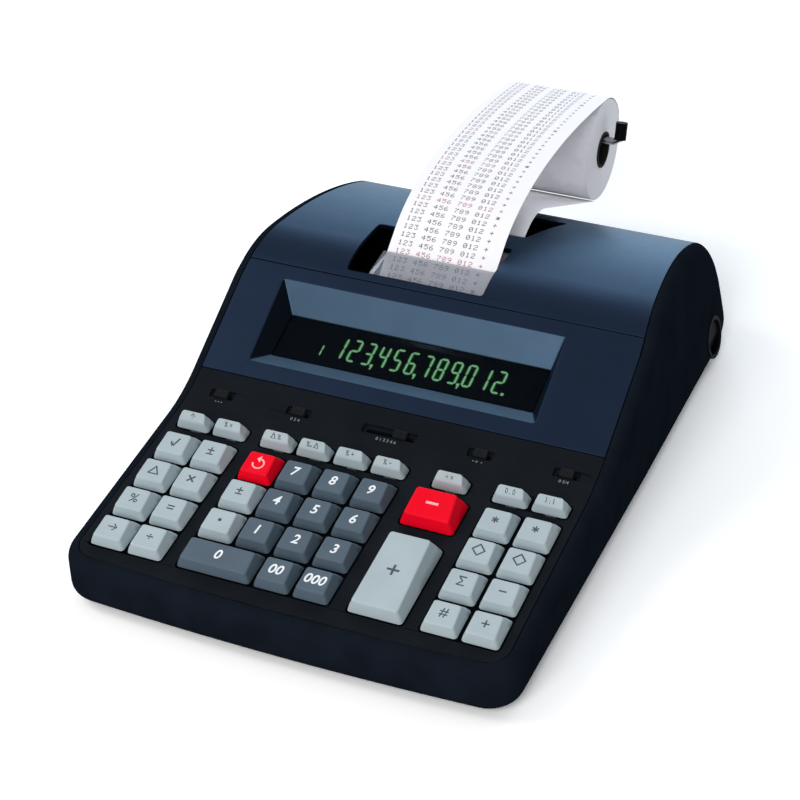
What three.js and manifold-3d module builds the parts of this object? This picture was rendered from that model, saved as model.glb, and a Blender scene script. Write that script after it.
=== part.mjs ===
// A desk printing calculator, built from separate pieces, in millimetres.
// X runs to the right, Y runs from the keys to the paper roll, and Z runs up.
// While the pieces are made, y = 0 is where the case's flat top starts, at its front, and z = 0 is the table.
// The last lines move everything so that the middle of the whole outline is at x = y = 0.

import * as THREE from "three";
import { mergeVertices } from "three/addons/utils/BufferGeometryUtils.js";
import Module from "manifold-3d";

const wasm = await Module();
wasm.setup();

const degrees = THREE.MathUtils.degToRad;

// Clearances and cutting
const gap = 0.3; // between pieces that touch on the real machine
const overrun = 20; // how far a cutting tool reaches past what it cuts

// Case: a low front with the keys, a steeper display part and a rounded printer part
const caseWidth = 219.2; // at the table
const caseDepth = 333; // behind the flat top's front
const frontBow = 3.5; // how far the front's middle stands before its ends
const twistRun = 181; // behind this line the sides lean in more and more
const rearLean = degrees(12); // of the sides, at the very back
const planRadius = 16; // vertical corners, seen from above
const footHeight = 1.5;
const footRadius = 8;
const footInset = 24; // from the case's sides and front to a foot's middle
const floorThickness = 2.5;
const sideWall = 4.8;
const sideRim = 5.6; // the top of a side wall, beside the panel and the covers
const sideLedge = 1.6; // what the panel's and the covers' sides rest on
const flangeDepth = 7; // of the rim and the ledge, from the top line
const frontRim = 5.2; // from the front face
const frontLedge = 3; // what the panel's front edge rests on
const rearWall = 2.6;
const noseRun = 5; // from the front face to where the flat top starts
const noseHeight = 19; // where the rounding between them starts
const toeSetback = 9; // the rounded bottom edge, all round
const toeRise = 8;
const rearToeRun = 27; // the slanted underside at the back
const rearCornerRun = 6; // how far the rounding of the rear edge reaches

// The line of the top, seen from the side
const panelHeight = 28; // at the front edge of the first key row
const keyFront = 11; // from the flat top's front to that edge
const panelAngle = degrees(7);
const coverAngle = degrees(29.1);
const ridgeAngle = degrees(23.8); // where the long arc on top ends, at most
const tailAngle = degrees(68);
const kneeRun = 106.9; // from the key edge to the corner between panel and display slopes
const kneeRadius = 77;
const seamRun = 69.1; // from that corner to the seam of the two covers
const browRadius = 52;
const ridgeRadius = 215;
const tailRadius = 38;
const tailRun = 13.5; // level, from the end of the covers to the rear corner

// Plates
const panelThickness = 2.4;
const deckDepth = 8; // the panel's thick part, which guides the keys
const wellDepth = 4.6; // the sunken floor round the keys
const coverThickness = 2.6;

// Keys
const keyGap = 1.8; // between caps that stand side by side
const keySideGap = 5.25; // from the rim of a side wall to the key field
const rowPitch = 20;
const keyLength = 18.4;
const keyTravel = 3;
const keyFrontHeight = 4.8;
const keyBackHeight = 6.6;
const keyFrontInset = 1.3;
const keyBackInset = 4.8;
const keyCornerRadius = 1.7;
const keyDrop = 0.4; // how far the skirt hangs below the panel's face
const keyDish = 0.35; // the hollow in the finger face
const keySoftening = 0.5; // rounding of the finger face's edge
const keyWall = 1.4;
const keyCeiling = 2.2; // from the finger face down to the hollow inside
const keyTaperShare = 0.33; // how much the sides lean in, as a share of the height
const wellMargin = 0.8;
const blockGap = 7.9; // between the left, middle and right blocks
const plusGap = 9; // between the figures and the long keys
const bigKeyWidth = 26.1;
const bigKeyFrontHeight = 6;
const bigKeyBackHeight = 10;
const plusLength = 47.5;
const minusRow = 57.3; // its front edge, along the panel
const minusLength = 20.6;
const functionRow = 83.7;
const functionLength = 8.3;
const functionFrontHeight = 4.6;
const functionBackHeight = 8;
const functionFrontInset = 0.6;
const functionBackInset = 3.6;
const stemWidth = 5;
const stemReach = 10.6; // below the panel's face, at rest
const functionStemLength = 3.4;

// Slide switches
const slideRun = 108.6; // from the key edge, level
const slideSlotWidth = 12.8;
const slideSlotLength = 4.9;
const slideWideSlotWidth = 27.6;
const slideRecess = 1.8;
const slideCapWidth = 6.6;
const slideCapLength = 4.2;
const slideCapHeight = 1.7;
const slideTravel = 2.6; // each way
const slideStemWidth = 2.2;
const slideStemLength = 1.6;
const slideStemReach = 11;
// Middles of the slots, as shares of the key field's width
const slidePlaceShares = [-0.439, -0.2314, 0.0076, 0.2405, 0.4542];
const wideSlide = 2; // the third slot is the wide one
const wideKnobOffset = 5.6;

// Circuit board under the keys
const boardThickness = 1.6;
const boardDepth = 16; // from the panel's face to the board's top
const boardMargin = 4.75; // how much the key field is wider than the board, on each side
const boardFront = 2; // along the panel, from the key edge
const boardRear = 106;
const domeHeight = 2.1;
const domeRadius = 3.2;
const domeTopRadius = 2;
const functionDomeRadius = 2.4;
const functionDomeTopRadius = 1.5;
const chipWidth = 26;
const chipLength = 12;
const chipHeight = 3;
const chipPlaceShares = [-0.2766, 0, 0.2766]; // of the board's width
const bossRadius = 4;
const boardBossInset = 8; // from the board's edges

// Display: a funnel in the cover, a window under it, and the lamp tube on its board
const recessLeft = -81.5;
const recessRight = 66.8;
const recessFront = 8.8; // up the slope, from the cover's front edge
const recessRear = 56.3;
const windowLeft = -75;
const windowRight = 61.5;
const windowFront = 12.6;
const windowRear = 41;
const windowFrontDepth = 3;
const windowRearDepth = 8;
const trayWall = 2;
const trayFloor = 1.4;
const windowThickness = 1.8;
const windowOverlap = 2.2;
const tubeInset = 7;
const tubeLengthInset = 3;
const tubeGap = 1.6; // from the window to the tube
const tubeThickness = 6;
const tubeBoardOverhang = 5;
const postSize = 3;

// Paper
const paperWidth = 58;
const paperMiddle = -10.7; // the paper runs left of the middle
const paperThickness = 0.3;
const rollRadius = 28;
const coreRadius = 10;
const coreBore = 8.5;
const coreStand = 0.6; // how far the core stands out of the roll's face
const rollRun = 40; // from the case's back to the roll's middle
const rollHeight = 71.5;
const webGap = 0.5; // from the paper to the roll and to the platen
const feedAngle = degrees(25);
const lipRun = 283; // where the feeding paper starts to turn down
const lipBend = 18; // how far that turn reaches
const exitAngle = degrees(37);
const exitRun = 23; // straight paper out of the printer
const archStart = 34; // handles of the arch's curve
const archEnd = 70;
const archLandAngle = degrees(80);
const archEndAngle = degrees(18);

// Printer
const platenRadius = 10;
const platenRun = 211;
const platenHeight = 67.3;
const platenOverhang = 2; // past each edge of the paper
const shaftRadius = 3;
const shaftStub = 6;
const framePlate = 2;
const frameFront = 191;
const frameRear = 252;
const frameFloor = 40;
const frameTop = 76;
const frameShoulder = 60; // the rear end of the side plates is lower
const railRadius = 2.5;
const railRun = 195.4;
const railHeight = 59;
const headWidth = 22;
const headHeight = 13;
const headThickness = 7.5;
const frameBossInset = 8;

// Openings of the printer cover, from the flat top's front and from the middle of the paper
const slotFront = 191;
const slotRear = 232;
const slotLeft = 41.5;
const slotRight = 30.5;
const inletFront = 249;
const inletRear = 286;
const inletFrontHalf = 31;
const inletRearHalf = 40;
const tearRun = 20.5; // the clear tear-off plate in the slot
const tearRise = 3.1;
const tearThickness = 1.6;
const tearSink = 2.4; // how far it is set into the cover
const tearDrop = 1.2; // below the cover's face at the slot's edge
const tearOverhang = 1;

// Roll holder: a bent wire with a cap, plugged into the back of the case
const wireRadius = 2;
const wireSideGap = 4.3; // from the roll's face to the arm
const wireSocketHeight = 24;
const wirePlug = 14; // how far it reaches into its socket
const wireStraight = 7; // out of the socket before it climbs
const wireBend = 8;
const wireOverhang = 9.5; // past the roll's other face
const wireTipBend = 3.2;
const wireTipRise = 2; // straight, inside the cap
const capRise = 1.5; // of the cap's foot, above the wire's level part
const capLength = 9.5;
const capRadius = 3.3;
const capLean = degrees(16);
const socketSize = 15;
const socketTop = 32;
const socketFoot = 9;
const socketFace = 2; // from the case's back to a socket's face
const inletMiddle = 66; // the mains inlet, right of the middle
const inletBlockWidth = 24;
const inletPocketWidth = 16;
const inletPocketHeight = 10;
const inletPocketDepth = 9;

// Mains switch in the right side
const switchRun = 297;
const switchHeight = 15.5;
const rockerRadius = 8.6;
const rockerBore = 9.2;
const bezelRadius = 11.4;
const bezelStand = 0.9;
const drumDepth = 10;
const drumFloor = 2.4;
const rockerThickness = 4.4;
const rockerCrown = 1.2; // how far the ridge across its middle stands up
const rockerSink = 1.6; // its middle, below the bezel's face
const rockerTilt = degrees(8);
const pinRadius = 1.2;
const pinReach = 1; // into the drum's wall

// Counts
const cornerSteps = 5;
const bowSteps = 6;
const toeSteps = 3;
const kneeSteps = 5;
const browSteps = 5;
const ridgeSteps = 5;
const tailSteps = 5;
const twistSteps = 6;
const frontSteps = 4;
const roundSides = 12;
const rollSides = 36;
const wireSides = 8;
const wireSteps = 44;
const keyCornerSteps = 2;
const archSteps = 14;
const lipSteps = 6;
const wrapSteps = 12;
const domeSides = 6;

// Solids

function asSolid(geometry, matrix = new THREE.Matrix4()) {
  const bare = geometry.index ? geometry.toNonIndexed() : geometry.clone();
  bare.deleteAttribute("normal");
  bare.deleteAttribute("uv");
  bare.applyMatrix4(matrix);
  const merged = mergeVertices(bare);
  const mesh = new wasm.Mesh({
    numProp: 3,
    vertProperties: merged.attributes.position.array,
    triVerts: new Uint32Array(merged.index.array),
  });
  return new wasm.Manifold(mesh);
}

function union(solids) {
  return solids.reduce((all, one) => all.add(one));
}

function cut(solid, tools) {
  return tools.reduce((left, tool) => left.subtract(tool), solid);
}

function toMesh(solid, name, material) {
  const { vertProperties, triVerts } = solid.getMesh();
  const geometry = new THREE.BufferGeometry();
  geometry.setAttribute("position", new THREE.BufferAttribute(vertProperties, 3));
  geometry.setIndex(new THREE.BufferAttribute(triVerts, 1));
  const mesh = new THREE.Mesh(geometry, material);
  mesh.name = name;
  return mesh;
}

// A frame that stands at a point of the side view and is turned about X.
function sideFrame(y, z, angle) {
  const turn = new THREE.Matrix4().makeRotationX(angle);
  return new THREE.Matrix4().makeTranslation(0, y, z).multiply(turn);
}

function box(low, high, matrix) {
  const size = high.map((value, axis) => value - low[axis]);
  const geometry = new THREE.BoxGeometry(...size);
  geometry.translate(...high.map((value, axis) => (value + low[axis]) / 2));
  return asSolid(geometry, matrix);
}

// A prism whose outline lies in the plane of two axes and which runs along the third.
function prism(outline, from, to, axes, matrix = new THREE.Matrix4()) {
  const shape = new THREE.Shape(outline.map(([a, b]) => new THREE.Vector2(a, b)));
  const geometry = new THREE.ExtrudeGeometry(shape, { depth: to - from, bevelEnabled: false });
  geometry.translate(0, 0, from);
  geometry.applyMatrix4(axes);
  return asSolid(geometry, matrix);
}

const axisX = new THREE.Vector3(1, 0, 0);
const axisY = new THREE.Vector3(0, 1, 0);
const axisZ = new THREE.Vector3(0, 0, 1);
const sideView = new THREE.Matrix4().makeBasis(axisY, axisZ, axisX);
const frontView = new THREE.Matrix4().makeBasis(axisZ, axisX, axisY);
const planView = new THREE.Matrix4();

// Outline [y, z], along X.
function alongX(outline, from, to, matrix) {
  return prism(outline, from, to, sideView, matrix);
}

// Outline [z, x], along Y.
function alongY(outline, from, to, matrix) {
  return prism(outline, from, to, frontView, matrix);
}

// Outline [x, y], along Z.
function alongZ(outline, from, to, matrix) {
  return prism(outline, from, to, planView, matrix);
}

// A round bar or cone along Z from one height to another.
function upright(radius, x, y, from, to, matrix, topRadius = radius, sides = roundSides) {
  const geometry = new THREE.CylinderGeometry(topRadius, radius, to - from, sides);
  geometry.rotateX(Math.PI / 2);
  geometry.translate(x, y, (from + to) / 2);
  return asSolid(geometry, matrix);
}

// A round bar along X.
function crossbar(radius, from, to, y, z, sides = roundSides) {
  const geometry = new THREE.CylinderGeometry(radius, radius, to - from, sides);
  geometry.rotateZ(-Math.PI / 2);
  geometry.translate((from + to) / 2, y, z);
  return asSolid(geometry);
}

// A body of revolution about X; the profile holds [distance along X, radius].
function turned(profile, x, y, z, sides) {
  const points = profile.map(([along, radius]) => new THREE.Vector2(radius, along));
  const geometry = new THREE.LatheGeometry(points, sides);
  geometry.rotateZ(-Math.PI / 2);
  geometry.translate(x, y, z);
  return asSolid(geometry);
}

// A solid through rings of equal count that run counterclockwise, seen from its end.
function loft(rings, startPoint, endPoint) {
  const count = rings[0].length;
  const vertices = [...rings.flat(), startPoint, endPoint];
  const start = vertices.length - 2;
  const end = vertices.length - 1;
  const last = (rings.length - 1) * count;
  const faces = [];
  for (let i = 0; i < count; i += 1) {
    const j = (i + 1) % count;
    faces.push(start, j, i, end, last + i, last + j);
    for (let ring = 0; ring < last; ring += count) {
      faces.push(ring + i, ring + j, ring + count + j);
      faces.push(ring + i, ring + count + j, ring + count + i);
    }
  }
  const geometry = new THREE.BufferGeometry().setFromPoints(vertices);
  geometry.setIndex(faces);
  return geometry;
}

// Corner points of a rectangle with round corners, counterclockwise, as [x, y].
function roundedRectangle(left, right, front, rear, radius, steps) {
  const corners = [
    [right - radius, rear - radius],
    [left + radius, rear - radius],
    [left + radius, front + radius],
    [right - radius, front + radius],
  ];
  return corners.flatMap(([x, y], quarter) =>
    Array.from({ length: steps + 1 }, (_, step) => {
      const angle = ((quarter + step / steps) * Math.PI) / 2;
      return [x + radius * Math.cos(angle), y + radius * Math.sin(angle)];
    }),
  );
}

function bend(start, control, end, steps) {
  const [a, b, c] = [start, control, end].map(([y, z]) => new THREE.Vector2(y, z));
  return new THREE.QuadraticBezierCurve(a, b, c).getPoints(steps).map((p) => [p.x, p.y]);
}

// The top line as stations [y, z, slope angle], from the front to the back

function panelZ(y) {
  return panelHeight + (y - keyFront) * Math.tan(panelAngle);
}

const knee = [keyFront + kneeRun, panelZ(keyFront + kneeRun)];
const kneeReach = kneeRadius * Math.tan((coverAngle - panelAngle) / 2);
const kneeStart = [knee[0] - kneeReach * Math.cos(panelAngle), knee[1] - kneeReach * Math.sin(panelAngle)];
const kneeCentre = [
  kneeStart[0] - kneeRadius * Math.sin(panelAngle),
  kneeStart[1] + kneeRadius * Math.cos(panelAngle),
];
const seam = [knee[0] + seamRun, knee[1] + seamRun * Math.tan(coverAngle)];
const browCentre = [
  seam[0] + browRadius * Math.sin(coverAngle),
  seam[1] - browRadius * Math.cos(coverAngle),
];
const crestZ = browCentre[1] + browRadius;
// The long arc ends where the case's depth leaves it room; a longer case gets a level crest.
const ridgeRun = caseDepth - tailRun - browCentre[0] - tailRadius * Math.sin(tailAngle);
const ridgeReach = ridgeRadius - tailRadius;
const crownAngle = Math.min(ridgeAngle, Math.asin(ridgeRun / ridgeReach));
const crestRun = ridgeRun - ridgeReach * Math.sin(crownAngle);
const ridgeCentre = [browCentre[0] + crestRun, crestZ - ridgeRadius];
const tailCentre = [
  ridgeCentre[0] + ridgeReach * Math.sin(crownAngle),
  ridgeCentre[1] + ridgeReach * Math.cos(crownAngle),
];

function blend(from, to, steps) {
  return Array.from({ length: steps + 1 }, (_, step) => from + ((to - from) * step) / steps);
}

function kneeStation(angle) {
  return [kneeCentre[0] + kneeRadius * Math.sin(angle), kneeCentre[1] - kneeRadius * Math.cos(angle), angle];
}

function domeStation([y, z], radius, angle) {
  return [y - radius * Math.sin(angle), z + radius * Math.cos(angle), angle];
}

const panelStations = [
  [0, panelZ(0), panelAngle],
  ...blend(panelAngle, coverAngle, kneeSteps).map(kneeStation),
];
const displayFront = panelStations[panelStations.length - 1];
const displayStations = [displayFront, [...seam, coverAngle]];
const ridgeAngles = blend(0, -crownAngle, ridgeSteps).slice(crestRun > gap ? 0 : 1, -1);
const tailStations = blend(-crownAngle, -tailAngle, tailSteps).map((a) =>
  domeStation(tailCentre, tailRadius, a),
);
const printerStations = [
  ...blend(coverAngle, 0, browSteps).map((a) => domeStation(browCentre, browRadius, a)),
  ...ridgeAngles.map((a) => domeStation(ridgeCentre, ridgeRadius, a)),
  ...tailStations,
];
const coverEnd = tailStations[tailSteps];
const rearCorner = [caseDepth, coverEnd[1] - (caseDepth - coverEnd[0]) * Math.tan(tailAngle)];

function inset([y, z, angle], depth, along = 0) {
  return [
    y + depth * Math.sin(angle) + along * Math.cos(angle),
    z - depth * Math.cos(angle) + along * Math.sin(angle),
  ];
}

// The strip between two depths under the top line; its ends can be moved along the line.
function band(stations, outer, inner, startShift = 0, endShift = 0) {
  const shift = (index) => {
    if (index === 0) return startShift;
    return index === stations.length - 1 ? endShift : 0;
  };
  const upper = stations.map((station, index) => inset(station, outer, shift(index)));
  const lower = stations.map((station, index) => inset(station, inner, shift(index)));
  return [...upper, ...lower.reverse()];
}

// Forms that every part of the case is trimmed by

const reach = caseWidth / 2 + overrun;
const tall = crestZ + overrun;

// How far the sides lean in at a distance from the front, as a share of the height.
function leanShare(y) {
  return (Math.max(y - twistRun, 0) / (caseDepth - twistRun)) * Math.tan(rearLean);
}

function halfWidth(y, z) {
  return caseWidth / 2 - leanShare(y) * z;
}

// Everything between the two sides, less a depth on each side.
function betweenSides(depth) {
  const runs = [-overrun, ...blend(twistRun, caseDepth + overrun, twistSteps)];
  const rings = runs.map((y) => {
    const low = halfWidth(y, -overrun) - depth;
    const high = halfWidth(y, tall) - depth;
    return [
      new THREE.Vector3(-low, y, -overrun),
      new THREE.Vector3(-high, y, tall),
      new THREE.Vector3(high, y, tall),
      new THREE.Vector3(low, y, -overrun),
    ];
  });
  return asSolid(loft(rings, new THREE.Vector3(0, -overrun, 0), new THREE.Vector3(0, runs[twistSteps + 1], 0)));
}

function arc(x, y, radius, from, to, steps) {
  return blend(from, to, steps).map((angle) => [x + radius * Math.cos(angle), y + radius * Math.sin(angle)]);
}

// Seen from above: straight sides, round corners, and a front that bows forward.
const bowRadius = ((caseWidth / 2) ** 2 + frontBow ** 2) / (2 * frontBow);

function planOutline(side, front, rear) {
  const radius = planRadius - side;
  const cornerX = caseWidth / 2 - planRadius;
  const cornerReach = bowRadius - front - radius;
  const bowAngle = Math.asin(cornerX / cornerReach);
  const bowY = bowRadius - noseRun;
  const frontY = bowY - cornerReach * Math.cos(bowAngle);
  const rearY = caseDepth - rear - radius;
  const [right, back, left, ahead, round] = [0, 1, 2, 3, 4].map((quarter) => (quarter * Math.PI) / 2);
  return [
    ...arc(cornerX, rearY, radius, right, back, cornerSteps),
    ...arc(-cornerX, rearY, radius, back, left, cornerSteps),
    ...arc(-cornerX, frontY, radius, left, ahead - bowAngle, cornerSteps),
    ...arc(0, bowY, bowRadius - front, ahead - bowAngle, ahead + bowAngle, bowSteps).slice(1, -1),
    ...arc(cornerX, frontY, radius, ahead + bowAngle, round, cornerSteps),
  ];
}

function planForm(side, front, rear) {
  return alongZ(planOutline(side, front, rear), -overrun, tall);
}

// The case's whole room, seen from above, with a bottom edge that is rounded all round.
function tub() {
  const ring = (inset, z) => planOutline(inset, inset, inset).map(([x, y]) => new THREE.Vector3(x, y, z));
  const toe = blend(Math.PI / 2, 0, toeSteps).map((turn) =>
    ring(toeSetback * (1 - Math.cos(turn)), footHeight + toeRise * (1 - Math.sin(turn))),
  );
  const [bottom, top] = [footHeight, tall].map((z) => new THREE.Vector3(0, caseDepth / 2, z));
  return asSolid(loft([...toe, ring(0, tall)], bottom, top));
}

// Base shell

const floorZ = footHeight + floorThickness;
const rearToe = [caseDepth - rearToeRun, footHeight];
const toeLength = Math.hypot(rearToeRun, rearCorner[1] - footHeight);
const toeAngle = Math.atan2(rearCorner[1] - footHeight, rearToeRun);
const rearRise = [
  rearCorner[0] - rearCornerRun * Math.cos(tailAngle),
  rearCorner[1] + rearCornerRun * Math.sin(tailAngle),
];
const rearFall = [
  rearToe[0] + (toeLength - rearCornerRun) * Math.cos(toeAngle),
  rearToe[1] + (toeLength - rearCornerRun) * Math.sin(toeAngle),
];

const caseOutline = [
  [-noseRun, footHeight],
  ...bend([-noseRun, noseHeight], [-noseRun, panelZ(-noseRun)], [0, panelZ(0)], frontSteps),
  ...panelStations.slice(1).map((s) => inset(s, 0)),
  ...printerStations.map((s) => inset(s, 0)),
  ...bend(rearRise, rearCorner, rearFall, frontSteps),
  rearToe,
];

const rearInner = [
  rearCorner[0] - 2 * rearCornerRun * Math.cos(tailAngle) - rearWall * Math.sin(tailAngle),
  rearCorner[1] + 2 * rearCornerRun * Math.sin(tailAngle) - rearWall * Math.cos(tailAngle),
];
const coverEndInner = inset(coverEnd, rearWall, gap / 2);
const frontWall = frontRim + frontLedge;
const sideReach = sideRim + sideLedge;
const cavityFront = frontWall - noseRun;
const cavityOutline = [
  [cavityFront, floorZ],
  [rearToe[0], floorZ],
  rearInner,
  coverEndInner,
  [coverEndInner[0], tall],
  [cavityFront, tall],
];

const crown = [...panelStations, ...printerStations];
const rebateOutline = band(crown, -overrun, coverThickness + gap, -overrun, gap / 2);
const panelRebate = band(panelStations, -overrun, panelThickness + gap, -overrun, 0);
const flangeOutline = band(crown, -overrun, flangeDepth, -overrun, gap / 2);

const fieldWidth = caseWidth - 2 * (sideRim + keySideGap);
const boardWidth = fieldWidth - 2 * boardMargin;
const slidePlaces = slidePlaceShares.map((share) => share * fieldWidth);
const keyFrame = sideFrame(keyFront, panelHeight, panelAngle);
const boardUnderside = -boardDepth - boardThickness;
const rollY = caseDepth + rollRun;
const armX = paperMiddle - paperWidth / 2 - wireSideGap - wireRadius;
const socketRear = caseDepth - socketFace;
const frameHalf = paperWidth / 2 + platenOverhang + gap + framePlate;

function boardBosses() {
  const half = boardWidth / 2 - boardBossInset;
  const rows = [boardFront + boardBossInset, boardRear - boardBossInset];
  const bosses = rows.flatMap((row) =>
    [-half, half].map((x) => {
      const y = keyFront + row * Math.cos(panelAngle) - boardUnderside * Math.sin(panelAngle);
      return upright(bossRadius, x, y, footHeight, panelHeight);
    }),
  );
  const above = box(
    [-reach, -overrun, boardUnderside - gap],
    [reach, boardRear + overrun, overrun],
    keyFrame,
  );
  return cut(union(bosses), [above]);
}

function frameBosses() {
  const half = frameHalf - frameBossInset;
  const rows = [frameFront + frameBossInset, frameRear - frameBossInset];
  return rows.flatMap((y) =>
    [-half, half].map((x) => upright(bossRadius, paperMiddle + x, y, footHeight, frameFloor - gap)),
  );
}

function feet() {
  const x = caseWidth / 2 - footInset;
  const rows = [footInset, caseDepth - rearToeRun - footInset];
  return rows.flatMap((y) => [-x, x].map((side) => upright(footRadius, side, y, 0, floorZ)));
}

// The frame of the mains switch: its local Z points out of the leaning side wall.
const switchFrame = new THREE.Matrix4()
  .makeTranslation(halfWidth(switchRun, switchHeight), switchRun, switchHeight)
  .multiply(new THREE.Matrix4().makeRotationY(Math.PI / 2 - Math.atan(leanShare(switchRun))));

function baseShell() {
  const outer = alongX(caseOutline, -reach, reach).intersect(betweenSides(0)).intersect(tub());
  const hollow = alongX(cavityOutline, -reach, reach);
  const mouth = hollow.intersect(betweenSides(sideReach)).intersect(planForm(sideReach, frontWall, 0));
  const belly = hollow
    .intersect(betweenSides(sideWall))
    .intersect(planForm(sideWall, frontWall, 0))
    .subtract(alongX(flangeOutline, -reach, reach));
  const rebate = alongX(rebateOutline, -reach, reach)
    .add(alongX(panelRebate, -reach, reach))
    .intersect(betweenSides(sideRim))
    .intersect(planForm(sideRim, frontRim, 0));
  const shell = cut(outer, [mouth, belly, rebate]);
  const socket = box(
    [armX - socketSize / 2, rearToe[0], socketFoot],
    [armX + socketSize / 2, socketRear, socketTop],
  );
  const inletBlock = box(
    [inletMiddle - inletBlockWidth / 2, rearToe[0], socketFoot],
    [inletMiddle + inletBlockWidth / 2, socketRear, socketTop],
  );
  const drum = upright(rockerBore + drumFloor, 0, 0, -sideWall - drumDepth, -sideWall / 2, switchFrame);
  const bezel = upright(bezelRadius, 0, 0, -sideWall / 2, bezelStand, switchFrame, undefined, rollSides);
  const inletMiddleZ = (socketFoot + socketTop) / 2;
  const pocket = box(
    [inletMiddle - inletPocketWidth / 2, socketRear - inletPocketDepth, inletMiddleZ - inletPocketHeight / 2],
    [inletMiddle + inletPocketWidth / 2, socketRear + overrun, inletMiddleZ + inletPocketHeight / 2],
  );
  const wireHole = alongY(
    roundedRectangle(
      wireSocketHeight - wireRadius - gap,
      wireSocketHeight + wireRadius + gap,
      armX - wireRadius - gap,
      armX + wireRadius + gap,
      wireRadius,
      keyCornerSteps,
    ),
    socketRear - wirePlug - gap,
    socketRear + overrun,
  );
  const rockerHole = upright(
    rockerBore,
    0,
    0,
    drumFloor - sideWall - drumDepth,
    overrun,
    switchFrame,
    undefined,
    rollSides,
  );
  const pinHole = crossbar(pinRadius + gap, -rockerBore - pinReach - gap, rockerBore + pinReach + gap, 0, 0);
  const acrossSwitch = switchFrame.clone().multiply(new THREE.Matrix4().makeRotationZ(Math.PI / 2));
  const pinHoles = pinHole.transform([
    ...acrossSwitch.clone().multiply(new THREE.Matrix4().makeTranslation(0, 0, -rockerSink - rockerThickness / 2))
      .elements,
  ]);
  const parts = [
    shell,
    socket,
    inletBlock,
    drum,
    bezel,
    boardBosses(),
    ...frameBosses(),
    ...feet(),
  ];
  return cut(union(parts), [pocket, wireHole, rockerHole, pinHoles]);
}

// Keys

// The field holds two blocks of two columns, a middle block of four, and the long keys.
const innerGaps = 5 * keyGap + 2 * blockGap + plusGap;
const keyWidth = (fieldWidth - innerGaps - bigKeyWidth) / 8;
const keyPitch = keyWidth + keyGap;
const blockWidth = keyPitch + keyWidth;
const middleWidth = 3 * keyPitch + keyWidth;
const leftBlock = -fieldWidth / 2;
const middleBlock = leftBlock + blockWidth + blockGap;
const plusColumn = middleBlock + middleWidth + plusGap;
const rightBlock = plusColumn + bigKeyWidth + blockGap;

const light = { color: 0xbac6cb, roughness: 0.55 };
const slate = { color: 0x52606e, roughness: 0.55 };
const red = { color: 0xe1101e, roughness: 0.45 };

// A cap stands at its middle; its heights and insets are those of the finger face.
function capShape(width, length, front, back, frontInset, backInset) {
  return { width, length, front, back, frontInset, backInset };
}

const plainCap = [keyFrontHeight, keyBackHeight, keyFrontInset, keyBackInset];
const bigCap = [bigKeyFrontHeight, bigKeyBackHeight, keyFrontInset, keyBackInset];
const functionCap = [functionFrontHeight, functionBackHeight, functionFrontInset, functionBackInset];

function gridKeys(names, left, finish) {
  return names.flatMap((row, rowIndex) =>
    row.map((name, column) => ({
      name,
      finish: finish(name),
      left: left + column * keyPitch,
      front: rowIndex * rowPitch,
      shape: capShape(keyWidth, keyLength, ...plainCap),
    })),
  );
}

const leftKeys = gridKeys(
  [
    ["key_advance", "key_divide"],
    ["key_percent", "key_equals"],
    ["key_difference", "key_multiply"],
    ["key_check", "key_rate"],
  ],
  leftBlock,
  () => light,
);
const rightKeys = gridKeys(
  [
    ["key_count", "key_memory_plus"],
    ["key_grand_total", "key_memory_minus"],
    ["key_subtotal", "key_memory_subtotal"],
    ["key_total", "key_memory_total"],
  ],
  rightBlock,
  () => light,
);
const middleFinish = { key_point: light, key_sign: light, key_clear: red };
const middleKeys = gridKeys(
  [
    ["key_0", "key_0_space", "key_00", "key_000"],
    ["key_point", "key_1", "key_2", "key_3"],
    ["key_sign", "key_4", "key_5", "key_6"],
    ["key_clear", "key_7", "key_8", "key_9"],
  ],
  middleBlock,
  (name) => middleFinish[name] ?? slate,
).filter(({ name }) => name !== "key_0_space");
middleKeys[0].shape = capShape(blockWidth, keyLength, ...plainCap);

const longKeys = [
  {
    name: "key_plus",
    finish: light,
    left: plusColumn,
    front: 0,
    shape: capShape(bigKeyWidth, plusLength, ...bigCap),
  },
  {
    name: "key_minus",
    finish: red,
    left: plusColumn,
    front: minusRow,
    shape: capShape(bigKeyWidth, minusLength, ...bigCap),
  },
];

const functionColumns = [
  leftBlock,
  leftBlock + keyPitch,
  middleBlock,
  middleBlock + keyPitch,
  middleBlock + 2 * keyPitch,
  middleBlock + 3 * keyPitch,
  plusColumn + (bigKeyWidth - keyWidth) / 2,
  rightBlock,
  rightBlock + keyPitch,
];
const functionKeys = functionColumns.map((left, index) => ({
  name: `function_key_${index + 1}`,
  finish: light,
  left,
  front: functionRow,
  shape: capShape(keyWidth, functionLength, ...functionCap),
  isFunction: true,
}));

const keys = [...leftKeys, ...middleKeys, ...longKeys, ...rightKeys, ...functionKeys];

function keyMiddle(key) {
  return [key.left + key.shape.width / 2, key.front + key.shape.length / 2];
}

function stemLength(key) {
  return key.isFunction ? functionStemLength : stemWidth;
}

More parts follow.
